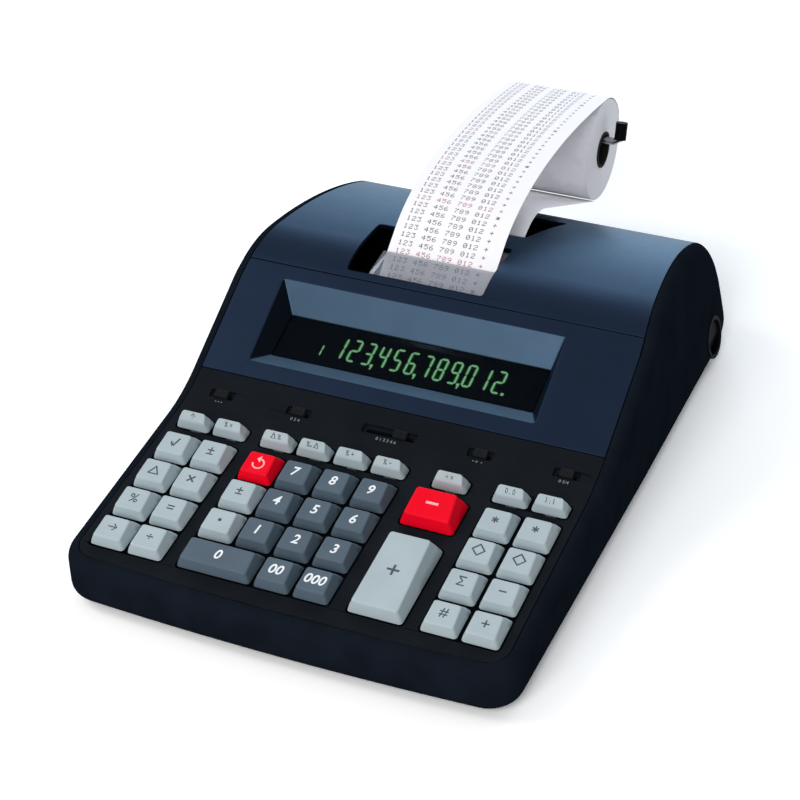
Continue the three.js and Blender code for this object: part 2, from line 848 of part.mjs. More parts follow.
function keySolid(key) {
  const { width, length, front, back, frontInset, backInset } = key.shape;
  const outline = roundedRectangle(
    -width / 2,
    width / 2,
    -length / 2,
    length / 2,
    keyCornerRadius,
    keyCornerSteps,
  );
  // A point of the outline, carried up the leaning sides; 0 is the foot and 1 the finger face.
  const lift = ([x, y], rise, softening = 0) => {
    const share = y / length + 0.5;
    const topY = -length / 2 + frontInset + share * (length - frontInset - backInset);
    const topZ = front + share * (back - front);
    const lean = 1 - (2 * (keyTaperShare * topZ * rise + softening)) / width;
    const shrink = 1 - (2 * softening) / length;
    return new THREE.Vector3(x * lean, (y + (topY - y) * rise) * shrink, topZ * rise - keyDrop * (1 - rise));
  };
  const shoulderShare = 1 - keySoftening / back;
  const rings = [
    outline.map((p) => lift(p, 0)),
    outline.map((p) => lift(p, shoulderShare)),
    outline.map((p) => lift(p, 1, keySoftening)),
  ];
  const centre = lift([0, 0], 1);
  centre.z -= keyDish;
  const outside = asSolid(loft(rings, new THREE.Vector3(0, 0, -keyDrop), centre));
  const ceiling = front - keyCeiling;
  const slack = keyWall + keyTaperShare * front;
  const hollow = box(
    [-width / 2 + slack, -length / 2 + keyWall + frontInset, -keyDrop - overrun],
    [width / 2 - slack, length / 2 - keyWall - backInset / 2, ceiling],
  );
  const stem = box(
    [-stemWidth / 2, -stemLength(key) / 2, -stemReach],
    [stemWidth / 2, stemLength(key) / 2, ceiling + keyCeiling / 2],
  );
  return outside.subtract(hollow).add(stem);
}

// Keyboard panel: a plate with a thick deck that has sunken wells and guides for the stems

function wellBox(group) {
  const left = Math.min(...group.map((key) => key.left));
  const right = Math.max(...group.map((key) => key.left + key.shape.width));
  const front = Math.min(...group.map((key) => key.front));
  const rear = Math.max(...group.map((key) => key.front + key.shape.length));
  return box(
    [left - wellMargin, front - wellMargin, -wellDepth],
    [right + wellMargin, rear + wellMargin, overrun],
    keyFrame,
  );
}

function guideHole(key) {
  const [x, y] = keyMiddle(key);
  const half = stemWidth / 2 + gap;
  const halfLength = stemLength(key) / 2 + gap;
  return box([x - half, y - halfLength, -deckDepth - overrun], [x + half, y + halfLength, 0], keyFrame);
}

// The slide switches stand on the curve between the panel and the display cover.
const slideAngle = Math.asin((keyFront + slideRun - kneeCentre[0]) / kneeRadius);
const slideStation = kneeStation(slideAngle);
const slideFrame = sideFrame(...slideStation);

function slideCuts(x, index) {
  const half = (index === wideSlide ? slideWideSlotWidth : slideSlotWidth) / 2;
  const slitHalf = half - (slideCapWidth - slideStemWidth) / 2 + gap;
  const slitHalfLength = slideStemLength / 2 + gap;
  return [
    box(
      [x - half, -slideSlotLength / 2, -slideRecess],
      [x + half, slideSlotLength / 2, overrun],
      slideFrame,
    ),
    box(
      [x - slitHalf, -slitHalfLength, -deckDepth - overrun],
      [x + slitHalf, slitHalfLength, 0],
      slideFrame,
    ),
  ];
}

function keyboardPanel() {
  const plate = alongX(band(panelStations, 0, panelThickness, -overrun, -gap / 2), -reach, reach)
    .intersect(betweenSides(sideRim + gap))
    .intersect(planForm(sideRim + gap, frontRim + gap, 0));
  const deck = alongX(band(panelStations, panelThickness / 2, deckDepth, -overrun, -gap / 2), -reach, reach)
    .intersect(betweenSides(sideReach + gap))
    .intersect(planForm(sideReach + gap, frontWall + gap, 0));
  const [leftFunctions, middleFunctions, plusFunction, rightFunctions] = [
    functionKeys.slice(0, 2),
    functionKeys.slice(2, 6),
    functionKeys.slice(6, 7),
    functionKeys.slice(7),
  ];
  const groups = [
    leftKeys,
    middleKeys,
    [longKeys[0]],
    [longKeys[1]],
    rightKeys,
    leftFunctions,
    middleFunctions,
    plusFunction,
    rightFunctions,
  ];
  const tools = [...groups.map(wellBox), ...keys.map(guideHole), ...slidePlaces.flatMap(slideCuts)];
  return cut(plate.add(deck), tools);
}

function slideSolid() {
  const low = gap - slideRecess;
  const cap = box(
    [-slideCapWidth / 2, -slideCapLength / 2, low],
    [slideCapWidth / 2, slideCapLength / 2, slideCapHeight],
  );
  const stem = box(
    [-slideStemWidth / 2, -slideStemLength / 2, -slideStemReach],
    [slideStemWidth / 2, slideStemLength / 2, 0],
  );
  return cap.add(stem);
}

function circuitBoard() {
  const half = boardWidth / 2;
  const board = box([-half, boardFront, boardUnderside], [half, boardRear, -boardDepth]);
  const domes = keys.map((key) => {
    const [x, y] = keyMiddle(key);
    const radius = key.isFunction ? functionDomeRadius : domeRadius;
    const topRadius = key.isFunction ? functionDomeTopRadius : domeTopRadius;
    const top = domeHeight - boardDepth;
    return upright(radius, x, y, -boardDepth - boardThickness / 2, top, undefined, topRadius, domeSides);
  });
  const middle = (boardFront + boardRear) / 2;
  const chips = chipPlaceShares.map((share) =>
    box(
      [share * boardWidth - chipWidth / 2, middle - chipLength / 2, boardUnderside - chipHeight],
      [share * boardWidth + chipWidth / 2, middle + chipLength / 2, boardUnderside + boardThickness / 2],
    ),
  );
  return union([board, ...domes, ...chips]);
}

// Display

const displayFrame = sideFrame(...displayFront);
const windowTilt = Math.atan2(windowRearDepth - windowFrontDepth, windowRear - windowFront);
const windowRun = Math.hypot(windowRearDepth - windowFrontDepth, windowRear - windowFront);
const windowFrame = displayFrame.clone().multiply(sideFrame(windowFront, -windowFrontDepth, -windowTilt));
const windowTop = -trayFloor - gap;
const tubeTop = windowTop - windowThickness - tubeGap;
const tubeBottom = tubeTop - tubeThickness;

// Height of the window's plane, or of one under it, at a place up the cover's slope.
function windowPlane(run, below) {
  return -windowFrontDepth - (run - windowFront) * Math.tan(windowTilt) - below / Math.cos(windowTilt);
}

function rectangleRing(left, right, front, rear, frontZ, rearZ) {
  return [
    new THREE.Vector3(left, front, frontZ),
    new THREE.Vector3(right, front, frontZ),
    new THREE.Vector3(right, rear, rearZ),
    new THREE.Vector3(left, rear, rearZ),
  ];
}

function displayCover() {
  const plate = alongX(band(displayStations, 0, coverThickness, gap / 2, -gap / 2), -reach, reach);
  const trayFront = recessFront - trayWall;
  const trayRear = recessRear + trayWall;
  const tray = alongX(
    [
      [trayFront, -coverThickness / 2],
      [trayFront, windowPlane(trayFront, trayFloor)],
      [trayRear, windowPlane(trayRear, trayFloor)],
      [trayRear, -coverThickness / 2],
    ],
    recessLeft - trayWall,
    recessRight + trayWall,
    displayFrame,
  );
  const rings = [
    rectangleRing(windowLeft, windowRight, windowFront, windowRear, -windowFrontDepth, -windowRearDepth),
    rectangleRing(recessLeft, recessRight, recessFront, recessRear, 0, 0),
    rectangleRing(recessLeft, recessRight, recessFront, recessRear, overrun, overrun),
  ];
  const middleX = (windowLeft + windowRight) / 2;
  const middleRun = (windowFront + windowRear) / 2;
  const funnel = asSolid(
    loft(
      rings,
      new THREE.Vector3(middleX, middleRun, windowPlane(middleRun, 0)),
      new THREE.Vector3(middleX, middleRun, overrun),
    ),
    displayFrame,
  );
  const opening = box([windowLeft, 0, -overrun], [windowRight, windowRun, trayFloor], windowFrame);
  const postRows = [-tubeBoardOverhang / 2, windowRun + tubeBoardOverhang / 2];
  const posts = postRows.flatMap((y) =>
    [recessLeft - trayWall + postSize / 2, recessRight + trayWall - postSize / 2].map((x) =>
      box(
        [x - postSize / 2, y - postSize / 2, tubeBottom + gap],
        [x + postSize / 2, y + postSize / 2, -trayFloor / 2],
        windowFrame,
      ),
    ),
  );
  const body = union([plate.intersect(betweenSides(sideRim + gap)), tray, ...posts]);
  return cut(body, [funnel, opening]);
}

function displayWindow() {
  return box(
    [windowLeft - windowOverlap, -windowOverlap, windowTop - windowThickness],
    [windowRight + windowOverlap, windowRun + windowOverlap, windowTop],
    windowFrame,
  );
}

function displayTube() {
  const glass = box(
    [windowLeft + tubeInset, tubeLengthInset, tubeBottom - boardThickness / 2],
    [windowRight - tubeInset, windowRun - tubeLengthInset, tubeTop],
    windowFrame,
  );
  const board = box(
    [recessLeft - trayWall, -tubeBoardOverhang, tubeBottom - boardThickness],
    [recessRight + trayWall, windowRun + tubeBoardOverhang, tubeBottom],
    windowFrame,
  );
  return glass.add(board);
}

// Printer cover, with its tear-off plate

function printerCover() {
  const plate = alongX(
    band(printerStations, 0, coverThickness, gap / 2, -gap / 2),
    -reach,
    reach,
  ).intersect(betweenSides(sideRim + gap));
  const slot = alongZ(
    [
      [paperMiddle - slotLeft, slotFront],
      [paperMiddle + slotRight, slotFront],
      [paperMiddle + slotRight, slotRear],
      [paperMiddle - slotLeft, slotRear],
    ],
    0,
    tall,
  );
  const inlet = alongZ(
    [
      [paperMiddle - inletFrontHalf, inletFront],
      [paperMiddle + inletFrontHalf, inletFront],
      [paperMiddle + inletRearHalf, inletRear],
      [paperMiddle - inletRearHalf, inletRear],
    ],
    0,
    tall,
  );
  const slotAngle = Math.asin((browCentre[0] - slotFront) / browRadius);
  const [edgeY, edgeZ] = domeStation(browCentre, browRadius, slotAngle);
  const tearSlope = Math.atan2(tearRise, tearRun);
  const tearHalf = paperWidth / 2 + tearOverhang;
  const tearPlate = box(
    [paperMiddle - tearHalf, -tearSink, -tearThickness],
    [paperMiddle + tearHalf, Math.hypot(tearRise, tearRun), 0],
    sideFrame(edgeY, edgeZ - tearDrop, tearSlope),
  );
  return cut(plate, [slot, inlet]).add(tearPlate);
}

// Printer mechanism

function printerFrame() {
  const floor = box(
    [paperMiddle - frameHalf, frameFront, frameFloor],
    [paperMiddle + frameHalf, frameRear, frameFloor + framePlate],
  );
  const sideOutline = [
    [frameFront, frameFloor],
    [frameRear, frameFloor],
    [frameRear, frameShoulder],
    [platenRun + 2 * platenRadius, frameTop],
    [platenRun - platenRadius, frameTop],
    [frameFront, frameTop - platenRadius],
  ];
  const sides = [-frameHalf, frameHalf - framePlate].map((x) =>
    alongX(sideOutline, paperMiddle + x, paperMiddle + x + framePlate),
  );
  const rail = crossbar(
    railRadius,
    paperMiddle - frameHalf + framePlate / 2,
    paperMiddle + frameHalf - framePlate / 2,
    railRun,
    railHeight,
  );
  const head = box(
    [paperMiddle - headWidth / 2, railRun - headThickness / 2, railHeight - headHeight / 2],
    [paperMiddle + headWidth / 2, railRun + headThickness / 2, railHeight + headHeight / 2],
  );
  const bearings = crossbar(
    shaftRadius + gap,
    paperMiddle - frameHalf - overrun,
    paperMiddle + frameHalf + overrun,
    platenRun,
    platenHeight,
  );
  return cut(union([floor, ...sides]), [bearings]).add(rail).add(head);
}

function platenRoller() {
  const half = paperWidth / 2 + platenOverhang;
  const profile = [
    [-half - shaftStub, 0],
    [-half - shaftStub, shaftRadius],
    [-half, shaftRadius],
    [-half, platenRadius],
    [half, platenRadius],
    [half, shaftRadius],
    [half + shaftStub, shaftRadius],
    [half + shaftStub, 0],
  ];
  return turned(profile, paperMiddle, platenRun, platenHeight, rollSides);
}

// Paper

function paperRoll() {
  const half = paperWidth / 2;
  const profile = [
    [-half - coreStand, coreBore],
    [-half - coreStand, coreRadius],
    [-half, coreRadius],
    [-half, rollRadius],
    [half, rollRadius],
    [half, coreRadius],
    [half + coreStand, coreRadius],
    [half + coreStand, coreBore],
    [-half - coreStand, coreBore],
  ];
  return turned(profile, paperMiddle, rollY, rollHeight, rollSides);
}

function onCircle([y, z], radius, angle) {
  return [y + radius * Math.cos(angle), z + radius * Math.sin(angle)];
}

// The paper's line in the side view: off the roll's underside, over the inlet's lip, round the
// platen, out of the slot, and in an arch back onto the roll.
function paperLine() {
  const roll = [rollY, rollHeight];
  const outside = rollRadius + webGap + paperThickness / 2;
  const leave = onCircle(roll, outside, -Math.PI / 2 - feedAngle);
  const lipStart = [lipRun, leave[1] + (leave[0] - lipRun) * Math.tan(feedAngle)];
  const lipControl = [
    lipStart[0] - lipBend * Math.cos(feedAngle),
    lipStart[1] + lipBend * Math.sin(feedAngle),
  ];
  const platen = [platenRun, platenHeight];
  const wrap = platenRadius + webGap + paperThickness / 2;
  // The straight run from the lip touches the platen's underside.
  const away = Math.hypot(lipControl[0] - platen[0], lipControl[1] - platen[1]);
  const bearing = Math.atan2(lipControl[1] - platen[1], lipControl[0] - platen[0]);
  const touch = bearing - Math.acos(wrap / away);
  const run = onCircle(platen, wrap, touch);
  const length = Math.hypot(run[0] - lipControl[0], run[1] - lipControl[1]);
  const lipEnd = [
    lipControl[0] + ((run[0] - lipControl[0]) * lipBend) / length,
    lipControl[1] + ((run[1] - lipControl[1]) * lipBend) / length,
  ];
  const leaveAngle = Math.PI / 2 + exitAngle - 2 * Math.PI;
  const wrapped = blend(touch, leaveAngle, wrapSteps).map((angle) => onCircle(platen, wrap, angle));
  const off = wrapped[wrapSteps];
  const exit = [off[0] + exitRun * Math.cos(exitAngle), off[1] + exitRun * Math.sin(exitAngle)];
  const land = onCircle(roll, outside, archLandAngle);
  const landSlope = archLandAngle - Math.PI / 2;
  const arch = new THREE.CubicBezierCurve(
    new THREE.Vector2(...exit),
    new THREE.Vector2(exit[0] + archStart * Math.cos(exitAngle), exit[1] + archStart * Math.sin(exitAngle)),
    new THREE.Vector2(land[0] - archEnd * Math.cos(landSlope), land[1] - archEnd * Math.sin(landSlope)),
    new THREE.Vector2(...land),
  );
  return [
    leave,
    ...bend(lipStart, lipControl, lipEnd, lipSteps),
    ...wrapped,
    ...arch.getPoints(archSteps).map((p) => [p.x, p.y]),
    ...blend(archLandAngle, archEndAngle, lipSteps)
      .slice(1)
      .map((angle) => onCircle(roll, outside, angle)),
  ];
}

function paperStrip() {
  const line = paperLine();
  const side = (sign) =>
    line.map(([y, z], index) => {
      const before = line[Math.max(index - 1, 0)];
      const after = line[Math.min(index + 1, line.length - 1)];
      const length = Math.hypot(after[0] - before[0], after[1] - before[1]);
      const shift = (sign * paperThickness) / 2 / length;
      return [y - (after[1] - before[1]) * shift, z + (after[0] - before[0]) * shift];
    });
  const outline = [...side(1), ...side(-1).reverse()];
  return alongX(outline, paperMiddle - paperWidth / 2, paperMiddle + paperWidth / 2);
}

// Roll holder

function rollHolder() {
  const axleZ = rollHeight + coreBore - wireRadius - gap;
  const tipX = paperMiddle + paperWidth / 2 + wireOverhang;
  const vector = (x, y, z) => new THREE.Vector3(x, y, z);
  const turn = new THREE.Vector3(0, Math.sin(capLean), Math.cos(capLean));
  const corners = [
    vector(armX, socketRear - wirePlug, wireSocketHeight),
    vector(armX, socketRear + wireStraight, wireSocketHeight),
    vector(armX, rollY, axleZ),
    vector(tipX, rollY, axleZ),
    vector(tipX, rollY, axleZ).addScaledVector(turn, wireTipBend + wireTipRise),
  ];
  const path = new THREE.CurvePath();
  let from = corners[0];
  corners.slice(1, -1).forEach((corner, index) => {
    const before = corner.clone().sub(corners[index]).normalize();
    const after = corners[index + 2].clone().sub(corner).normalize();
    const radius = index === corners.length - 3 ? wireTipBend : wireBend;
    const into = corner.clone().addScaledVector(before, -radius);
    const out = corner.clone().addScaledVector(after, radius);
    path.add(new THREE.LineCurve3(from, into));
    path.add(new THREE.QuadraticBezierCurve3(into, corner, out));
    from = out;
  });
  path.add(new THREE.LineCurve3(from, corners[corners.length - 1]));
  const round = new THREE.Shape().absarc(0, 0, wireRadius, 0, 2 * Math.PI);
  const section = new THREE.Shape(round.getSpacedPoints(wireSides).slice(0, wireSides));
  const wire = asSolid(
    new THREE.ExtrudeGeometry(section, { extrudePath: path, steps: wireSteps, bevelEnabled: false }),
  );
  const capFrame = new THREE.Matrix4()
    .makeTranslation(tipX, rollY, axleZ)
    .multiply(new THREE.Matrix4().makeRotationX(-capLean));
  return wire.add(upright(capRadius, 0, 0, capRise, capRise + capLength, capFrame));
}

// Mains rocker: a round button with a ridge across its middle and a pin at each side

function powerRocker() {
  const low = -rockerThickness / 2;
  const high = rockerThickness / 2;
  const drum = upright(rockerRadius, 0, 0, low, high + rockerCrown, undefined, undefined, rollSides);
  const eaves = high + rockerCrown - rockerBore * Math.tan(rockerTilt);
  const roof = alongY(
    [
      [low, -rockerBore],
      [eaves, -rockerBore],
      [high + rockerCrown, 0],
      [eaves, rockerBore],
      [low, rockerBore],
    ],
    -overrun,
    overrun,
  );
  const pins = crossbar(pinRadius, -rockerBore - pinReach, rockerBore + pinReach, 0, 0);
  const quarter = new THREE.Matrix4().makeRotationZ(Math.PI / 2);
  return drum.intersect(roof).add(pins.transform([...quarter.elements]));
}

// The whole machine

function finish({ color, roughness, metalness = 0 }) {
  return new THREE.MeshStandardMaterial({ color, roughness, metalness, flatShading: true });
}

const casing = { color: 0x1b1d22, roughness: 0.5 };
const charcoal = { color: 0x1f2228, roughness: 0.55 };
const navy = { color: 0x1e2a42, roughness: 0.28 };
const smoked = { color: 0x050607, roughness: 0.1 };
const tubeGlass = { color: 0x123018, roughness: 0.15 };
const laminate = { color: 0x1d5a34, roughness: 0.6 };
const steel = { color: 0x9a9da0, roughness: 0.35, metalness: 1 };
const rubber = { color: 0x2a2a2c, roughness: 0.8 };
const paper = { color: 0xf2f2ee, roughness: 0.9 };

const machine = new THREE.Group();
machine.add(toMesh(baseShell(), "base_shell", finish(casing)));
machine.add(toMesh(keyboardPanel(), "keyboard_panel", finish(charcoal)));
machine.add(toMesh(displayCover(), "display_cover", finish(navy)));
machine.add(toMesh(printerCover(), "printer_cover", finish(navy)));
machine.add(toMesh(displayWindow(), "display_window", finish(smoked)));
machine.add(toMesh(displayTube(), "display_tube", finish(tubeGlass)));
machine.add(toMesh(printerFrame(), "printer_frame", finish(steel)));
machine.add(toMesh(platenRoller(), "platen_roller", finish(rubber)));
machine.add(toMesh(paperRoll(), "paper_roll", finish(paper)));
machine.add(toMesh(paperStrip(), "paper_strip", finish(paper)));
machine.add(toMesh(rollHolder(), "roll_holder", finish(steel)));

const keyboard = new THREE.Group();
keyboard.applyMatrix4(keyFrame);
keyboard.add(toMesh(circuitBoard(), "circuit_board", finish(laminate)));
keys.forEach((key) => {
  const mesh = toMesh(keySolid(key), key.name, finish(key.finish));
  mesh.position.set(...keyMiddle(key), 0);
  keyboard.add(mesh);
});
machine.add(keyboard);

const slides = new THREE.Group();
slides.applyMatrix4(slideFrame);
slidePlaces.forEach((x, index) => {
  const mesh = toMesh(slideSolid(), `slide_switch_${index + 1}`, finish(casing));
  mesh.position.x = index === wideSlide ? x + wideKnobOffset : x;
  slides.add(mesh);
});
machine.add(slides);

const rocker = toMesh(powerRocker(), "power_rocker", finish(casing));
rocker.position.z = -rockerSink - rockerThickness / 2;
rocker.rotation.y = rockerTilt;
const switchGroup = new THREE.Group();
switchGroup.applyMatrix4(switchFrame);
switchGroup.add(rocker);
machine.add(switchGroup);

machine.position.y = -(rollY + rollRadius - noseRun) / 2;
export default machine;
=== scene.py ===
"""The looks of a desk printing calculator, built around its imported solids.

Lengths are in metres and angles in radians. X runs to the right, Y from the keys to the paper
roll, and Z up. The sizes here repeat those that the solids were made from. A form is a list of
points, a list of faces and, where it has several materials, a slot number for each face.
"""

import contextlib
import math

import bmesh
import bpy
import numpy as np
from mathutils import Matrix, Vector


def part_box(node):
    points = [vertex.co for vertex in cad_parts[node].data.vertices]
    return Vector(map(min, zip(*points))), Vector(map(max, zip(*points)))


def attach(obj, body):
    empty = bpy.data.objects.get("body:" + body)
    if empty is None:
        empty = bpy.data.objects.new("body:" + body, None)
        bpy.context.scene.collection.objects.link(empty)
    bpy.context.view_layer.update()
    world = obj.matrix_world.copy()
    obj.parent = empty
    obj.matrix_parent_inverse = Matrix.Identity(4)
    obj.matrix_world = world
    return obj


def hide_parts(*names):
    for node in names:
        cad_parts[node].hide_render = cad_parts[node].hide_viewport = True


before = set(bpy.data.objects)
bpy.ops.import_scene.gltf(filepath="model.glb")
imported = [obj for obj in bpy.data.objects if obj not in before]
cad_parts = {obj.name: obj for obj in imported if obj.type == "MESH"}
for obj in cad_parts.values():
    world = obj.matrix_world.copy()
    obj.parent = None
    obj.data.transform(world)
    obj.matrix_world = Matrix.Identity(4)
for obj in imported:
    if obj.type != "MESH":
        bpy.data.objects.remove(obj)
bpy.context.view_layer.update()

MM = 0.001
QUARTER = math.pi / 2
NOSE_Y = -198 * MM  # where the case's flat top starts, at its front

# The line of the top, behind that place
PANEL_HEIGHT = 28 * MM
KEY_FRONT = 11 * MM
PANEL_ANGLE = math.radians(7)
COVER_ANGLE = math.radians(29.1)
KNEE_RUN = 106.9 * MM
KNEE_RADIUS = 77 * MM
SEAM_RUN = 69.1 * MM
BROW_RADIUS = 52 * MM
RIDGE_RADIUS = 215 * MM
RIDGE_ANGLE = math.radians(23.8)
TAIL_RADIUS = 38 * MM
TAIL_ANGLE = math.radians(68)
TAIL_RUN = 13.5 * MM

# Case
CASE_WIDTH = 219.2 * MM
CASE_DEPTH = 333 * MM
FRONT_BOW = 3.5 * MM
BOW_RADIUS = ((CASE_WIDTH / 2) ** 2 + FRONT_BOW**2) / (2 * FRONT_BOW)
TWIST_RUN = 181 * MM
REAR_LEAN = math.radians(12)
PLAN_RADIUS = 16 * MM
NOSE_RUN = 5 * MM
RIM_RUN = 5.1 * MM
RIM_DROP = 6.4 * MM
TOE_SETBACK = 9 * MM
TOE_RISE = 8 * MM
FLAT_INSET = TOE_SETBACK * 1.1  # of the underside's flat middle
FOOT_HEIGHT = 1.5 * MM
FOOT_RADIUS = 8 * MM
FOOT_INSET = 24 * MM
FOOT_EDGE = 0.5 * MM
REAR_TOE_RUN = 27 * MM
REAR_CORNER = 6 * MM
FLOOR = 4 * MM
SIDE_RIM = 5.6 * MM
SIDE_LEDGE = 7.2 * MM
SIDE_WALL = 4.8 * MM
FRONT_RIM = 5.2 * MM
FRONT_WALL = 8.2 * MM
FLANGE = 7 * MM
GAP = 0.3 * MM
RIM_EDGE = 0.35 * MM
COVER_THICKNESS = 2.6 * MM
PANEL_THICKNESS = 2.4 * MM
DECK_DEPTH = 8 * MM
WELL_DEPTH = 4.6 * MM
WELL_MARGIN = 0.8 * MM
WELL_CORNER = 2.2 * MM

# Keys
KEY_DROP = 0.4 * MM
KEY_TAPER = 0.33
KEY_CORNER = 1.7 * MM
KEY_EDGE = 0.85 * MM
KEY_DISH = 0.45 * MM
KEY_WALL = 1.2 * MM
KEY_FOOT = 0.2 * MM
CEILING_SHARE = 0.6  # of the height in front
CEILING_TAPER = 0.86
STEM_SHARE = 0.62  # of the height in front
SIGN_SHIFT = 0.6 * MM  # behind the middle of the face
SMALL_SIGN_SHIFT = 0.1 * MM
LEANING, UPRIGHT = (0.02, 0.18), (0.006, 0)  # boldness and slant of a sign
STEM_WIDTH = 5 * MM
STEM_REACH = 10.6 * MM
# Height in front and at the back, inset in front and at the back, stem length
PLAIN_CAP = (4.8 * MM, 6.6 * MM, 1.3 * MM, 4.8 * MM, 5 * MM)
BIG_CAP = (6 * MM, 10 * MM, 1.3 * MM, 4.8 * MM, 5 * MM)
NARROW_CAP = (4.6 * MM, 8 * MM, 0.6 * MM, 3.6 * MM, 3.4 * MM)

# Paper
PAPER_WIDTH = 58 * MM
PAPER_MIDDLE = -10.7 * MM
PAPER_THICKNESS = 0.16 * MM
PAPER_ROOM = 0.3 * MM  # the thickness that the solid sheet has
ROLL_RADIUS = 28 * MM
ROLL_Y = 373 * MM + NOSE_Y
ROLL_Z = 71.5 * MM
CORE_RADIUS = 10 * MM
CORE_BORE = 8.5 * MM
CORE_STAND = 0.6 * MM
WEB_GAP = 0.5 * MM
PLATEN_Y = 211 * MM + NOSE_Y
PLATEN_Z = 67.3 * MM
PLATEN_RADIUS = 10 * MM


# Materials


def srgb(red, green, blue):
    """A colour given in 0 to 255, as the linear one that shaders take."""

    def linear(value):
        value /= 255
        return value / 12.92 if value <= 0.04045 else ((value + 0.055) / 1.055) ** 2.4

    return (linear(red), linear(green), linear(blue), 1)


def grey(value):
    return (value, value, value, 1)


def shade(colour, factor):
    """A darker or paler tone of a colour."""
    return tuple(min(c * factor, 1) for c in colour[:3]) + (1,)


class Shader:
    """The node tree of a material or world, with short calls to add nodes and join them."""

    def __init__(self, owner):
        owner.use_nodes = True
        self.owner, self.tree = owner, owner.node_tree

    def feed(self, socket, value):
        """Join a node's output to a socket, or set the socket's own value."""
        if hasattr(value, "links"):
            self.tree.links.new(value, socket)
        else:
            socket.default_value = value

    def node(self, kind, inputs=(), **settings):
        node = self.tree.nodes.new("ShaderNode" + kind)
        for name, value in settings.items():
            setattr(node, name, value)
        for key, value in dict(inputs).items():
            self.feed(node.inputs[key], value)
        return node

    def put(self, target="Principled BSDF", **values):
        for name, value in values.items():
            self.feed(self.tree.nodes[target].inputs[name.replace("_", " ")], value)
        return self.owner

    def coordinates(self):
        return self.node("TexCoord").outputs["Object"]

    def noise(self, scale, detail=2.0, roughness=0.5, stretch=None):
        vector = self.coordinates()
        if stretch:
            vector = self.node("Mapping", {"Scale": stretch, "Vector": vector}).outputs["Vector"]
        inputs = {"Scale": scale, "Detail": detail, "Roughness": roughness, "Vector": vector}
        return self.node("TexNoise", inputs).outputs["Fac"]

    def ramp(self, value, *stops):
        ramp = self.node("ValToRGB", {"Fac": value})
        for element, (position, colour) in zip(ramp.color_ramp.elements, stops):
            element.position, element.color = position, colour
        return ramp.outputs["Color"]

    def tones(self, value, colour, dark, low=0.3, high=0.7):
        """From a darker tone of a colour to the colour."""
        return self.ramp(value, (low, shade(colour, dark)), (high, colour))

    def mix(self, factor, first, second):
        return self.node("Mix", {0: factor, 6: first, 7: second}, data_type="RGBA").outputs[2]

    def math(self, operation, first, second=0.0, clamp=False):
        inputs = {0: first, 1: second}
        return self.node("Math", inputs, operation=operation, use_clamp=clamp).outputs[0]

    def vector(self, operation, first, second=(0, 0, 0), result="Vector"):
        inputs = {0: first, 1: second}
        return self.node("VectorMath", inputs, operation=operation).outputs[result]

    def scaled(self, value, low, high):
        """A noise's middle range, spread from low to high."""
        inputs = {"Value": value, "From Min": 0.3, "From Max": 0.7, "To Min": low, "To Max": high}
        return self.node("MapRange", inputs).outputs["Result"]

    def bump(self, height, distance, strength, **normal):
        inputs = {"Height": height, "Distance": distance, "Strength": strength, **normal}
        return self.node("Bump", inputs).outputs["Normal"]

    def rounded(self, radius):
        return self.node("Bevel", {"Radius": radius}, samples=6).outputs["Normal"]

    def edge(self, radius):
        """Near 1 on sharp edges and 0 on flat faces."""
        normal = self.node("NewGeometry").outputs["Normal"]
        product = self.vector("DOT_PRODUCT", self.rounded(radius), normal, "Value")
        return self.math("MULTIPLY", self.math("SUBTRACT", 1.0, product), 3.0, True)

    def background_rays(self):
        """1 for the rays that show a background: seen straight, mirrored or through glass."""
        path = self.node("LightPath").outputs
        seen = self.math("MAXIMUM", path["Is Camera Ray"], path["Is Glossy Ray"])
        return self.math("MAXIMUM", seen, path["Is Transmission Ray"])


def new_shader(name):
    return Shader(bpy.data.materials.new(name))


def plastic(
    name,
    colour,
    roughness,
    grain=0.02,
    radius=0.45,
    tint=0.12,
    edge_rub_and_highlight=0.2,
    shine=0.2,
    spread=0.05,
    **more,
):
    """Satin moulded plastic: fine spark texture, faint mottling, and paler edges, partly rubbing
    and partly a painted highlight.
    """
    shader = new_shader(name)
    pair = (0.35, shade(colour, 1 - tint)), (0.65, shade(colour, 1 + tint))
    base = shader.ramp(shader.noise(55, 3), *pair)
    # Paler edges: partly rubbing, partly a painted highlight along rims and corners
    rubbed_and_highlit_tone = tuple(c + (0.55 - c) * 0.25 for c in colour[:3]) + (1,)
    edge_rub_and_highlight = shader.scaled(shader.noise(400, 3), 0, edge_rub_and_highlight)
    edges = shader.math("MULTIPLY", shader.edge(radius * MM), edge_rub_and_highlight)
    normal = shader.bump(shader.noise(3200, 2), grain * MM, 0.6, Normal=shader.rounded(radius * MM))
    rough = shader.scaled(shader.noise(160, 4), roughness - spread, roughness + spread)
    shader.put(Base_Color=shader.mix(edges, base, rubbed_and_highlit_tone), Roughness=rough, Normal=normal)
    return shader.put(Specular_IOR_Level=shine, **more)


def lacquer(name, colour, roughness=0.4):
    """Dark blue lacquer with a metallic sheen."""
    looks = {"Metallic": 0.9, "Specular_Tint": (0.7, 0.86, 1, 1)}
    return plastic(name, colour, roughness, grain=0.006, tint=0.04, edge_rub_and_highlight=0.08, spread=0.01, **looks)


def ink(name, colour, roughness=0.5):
    """Printed ink, a little uneven."""
    shader = new_shader(name)
    base = shader.tones(shader.noise(1800, 3), colour, 0.85, 0.4, 0.6)
    return shader.put(Base_Color=base, Roughness=roughness)


def glowing(name, colour, strength):
    shader = new_shader(name)
    level = shader.tones(shader.noise(900, 1), colour, 0.8)
    shader.put(Base_Color=(0.01, 0.02, 0.01, 1), Roughness=0.4)
    return shader.put(Emission_Color=level, Emission_Strength=strength)


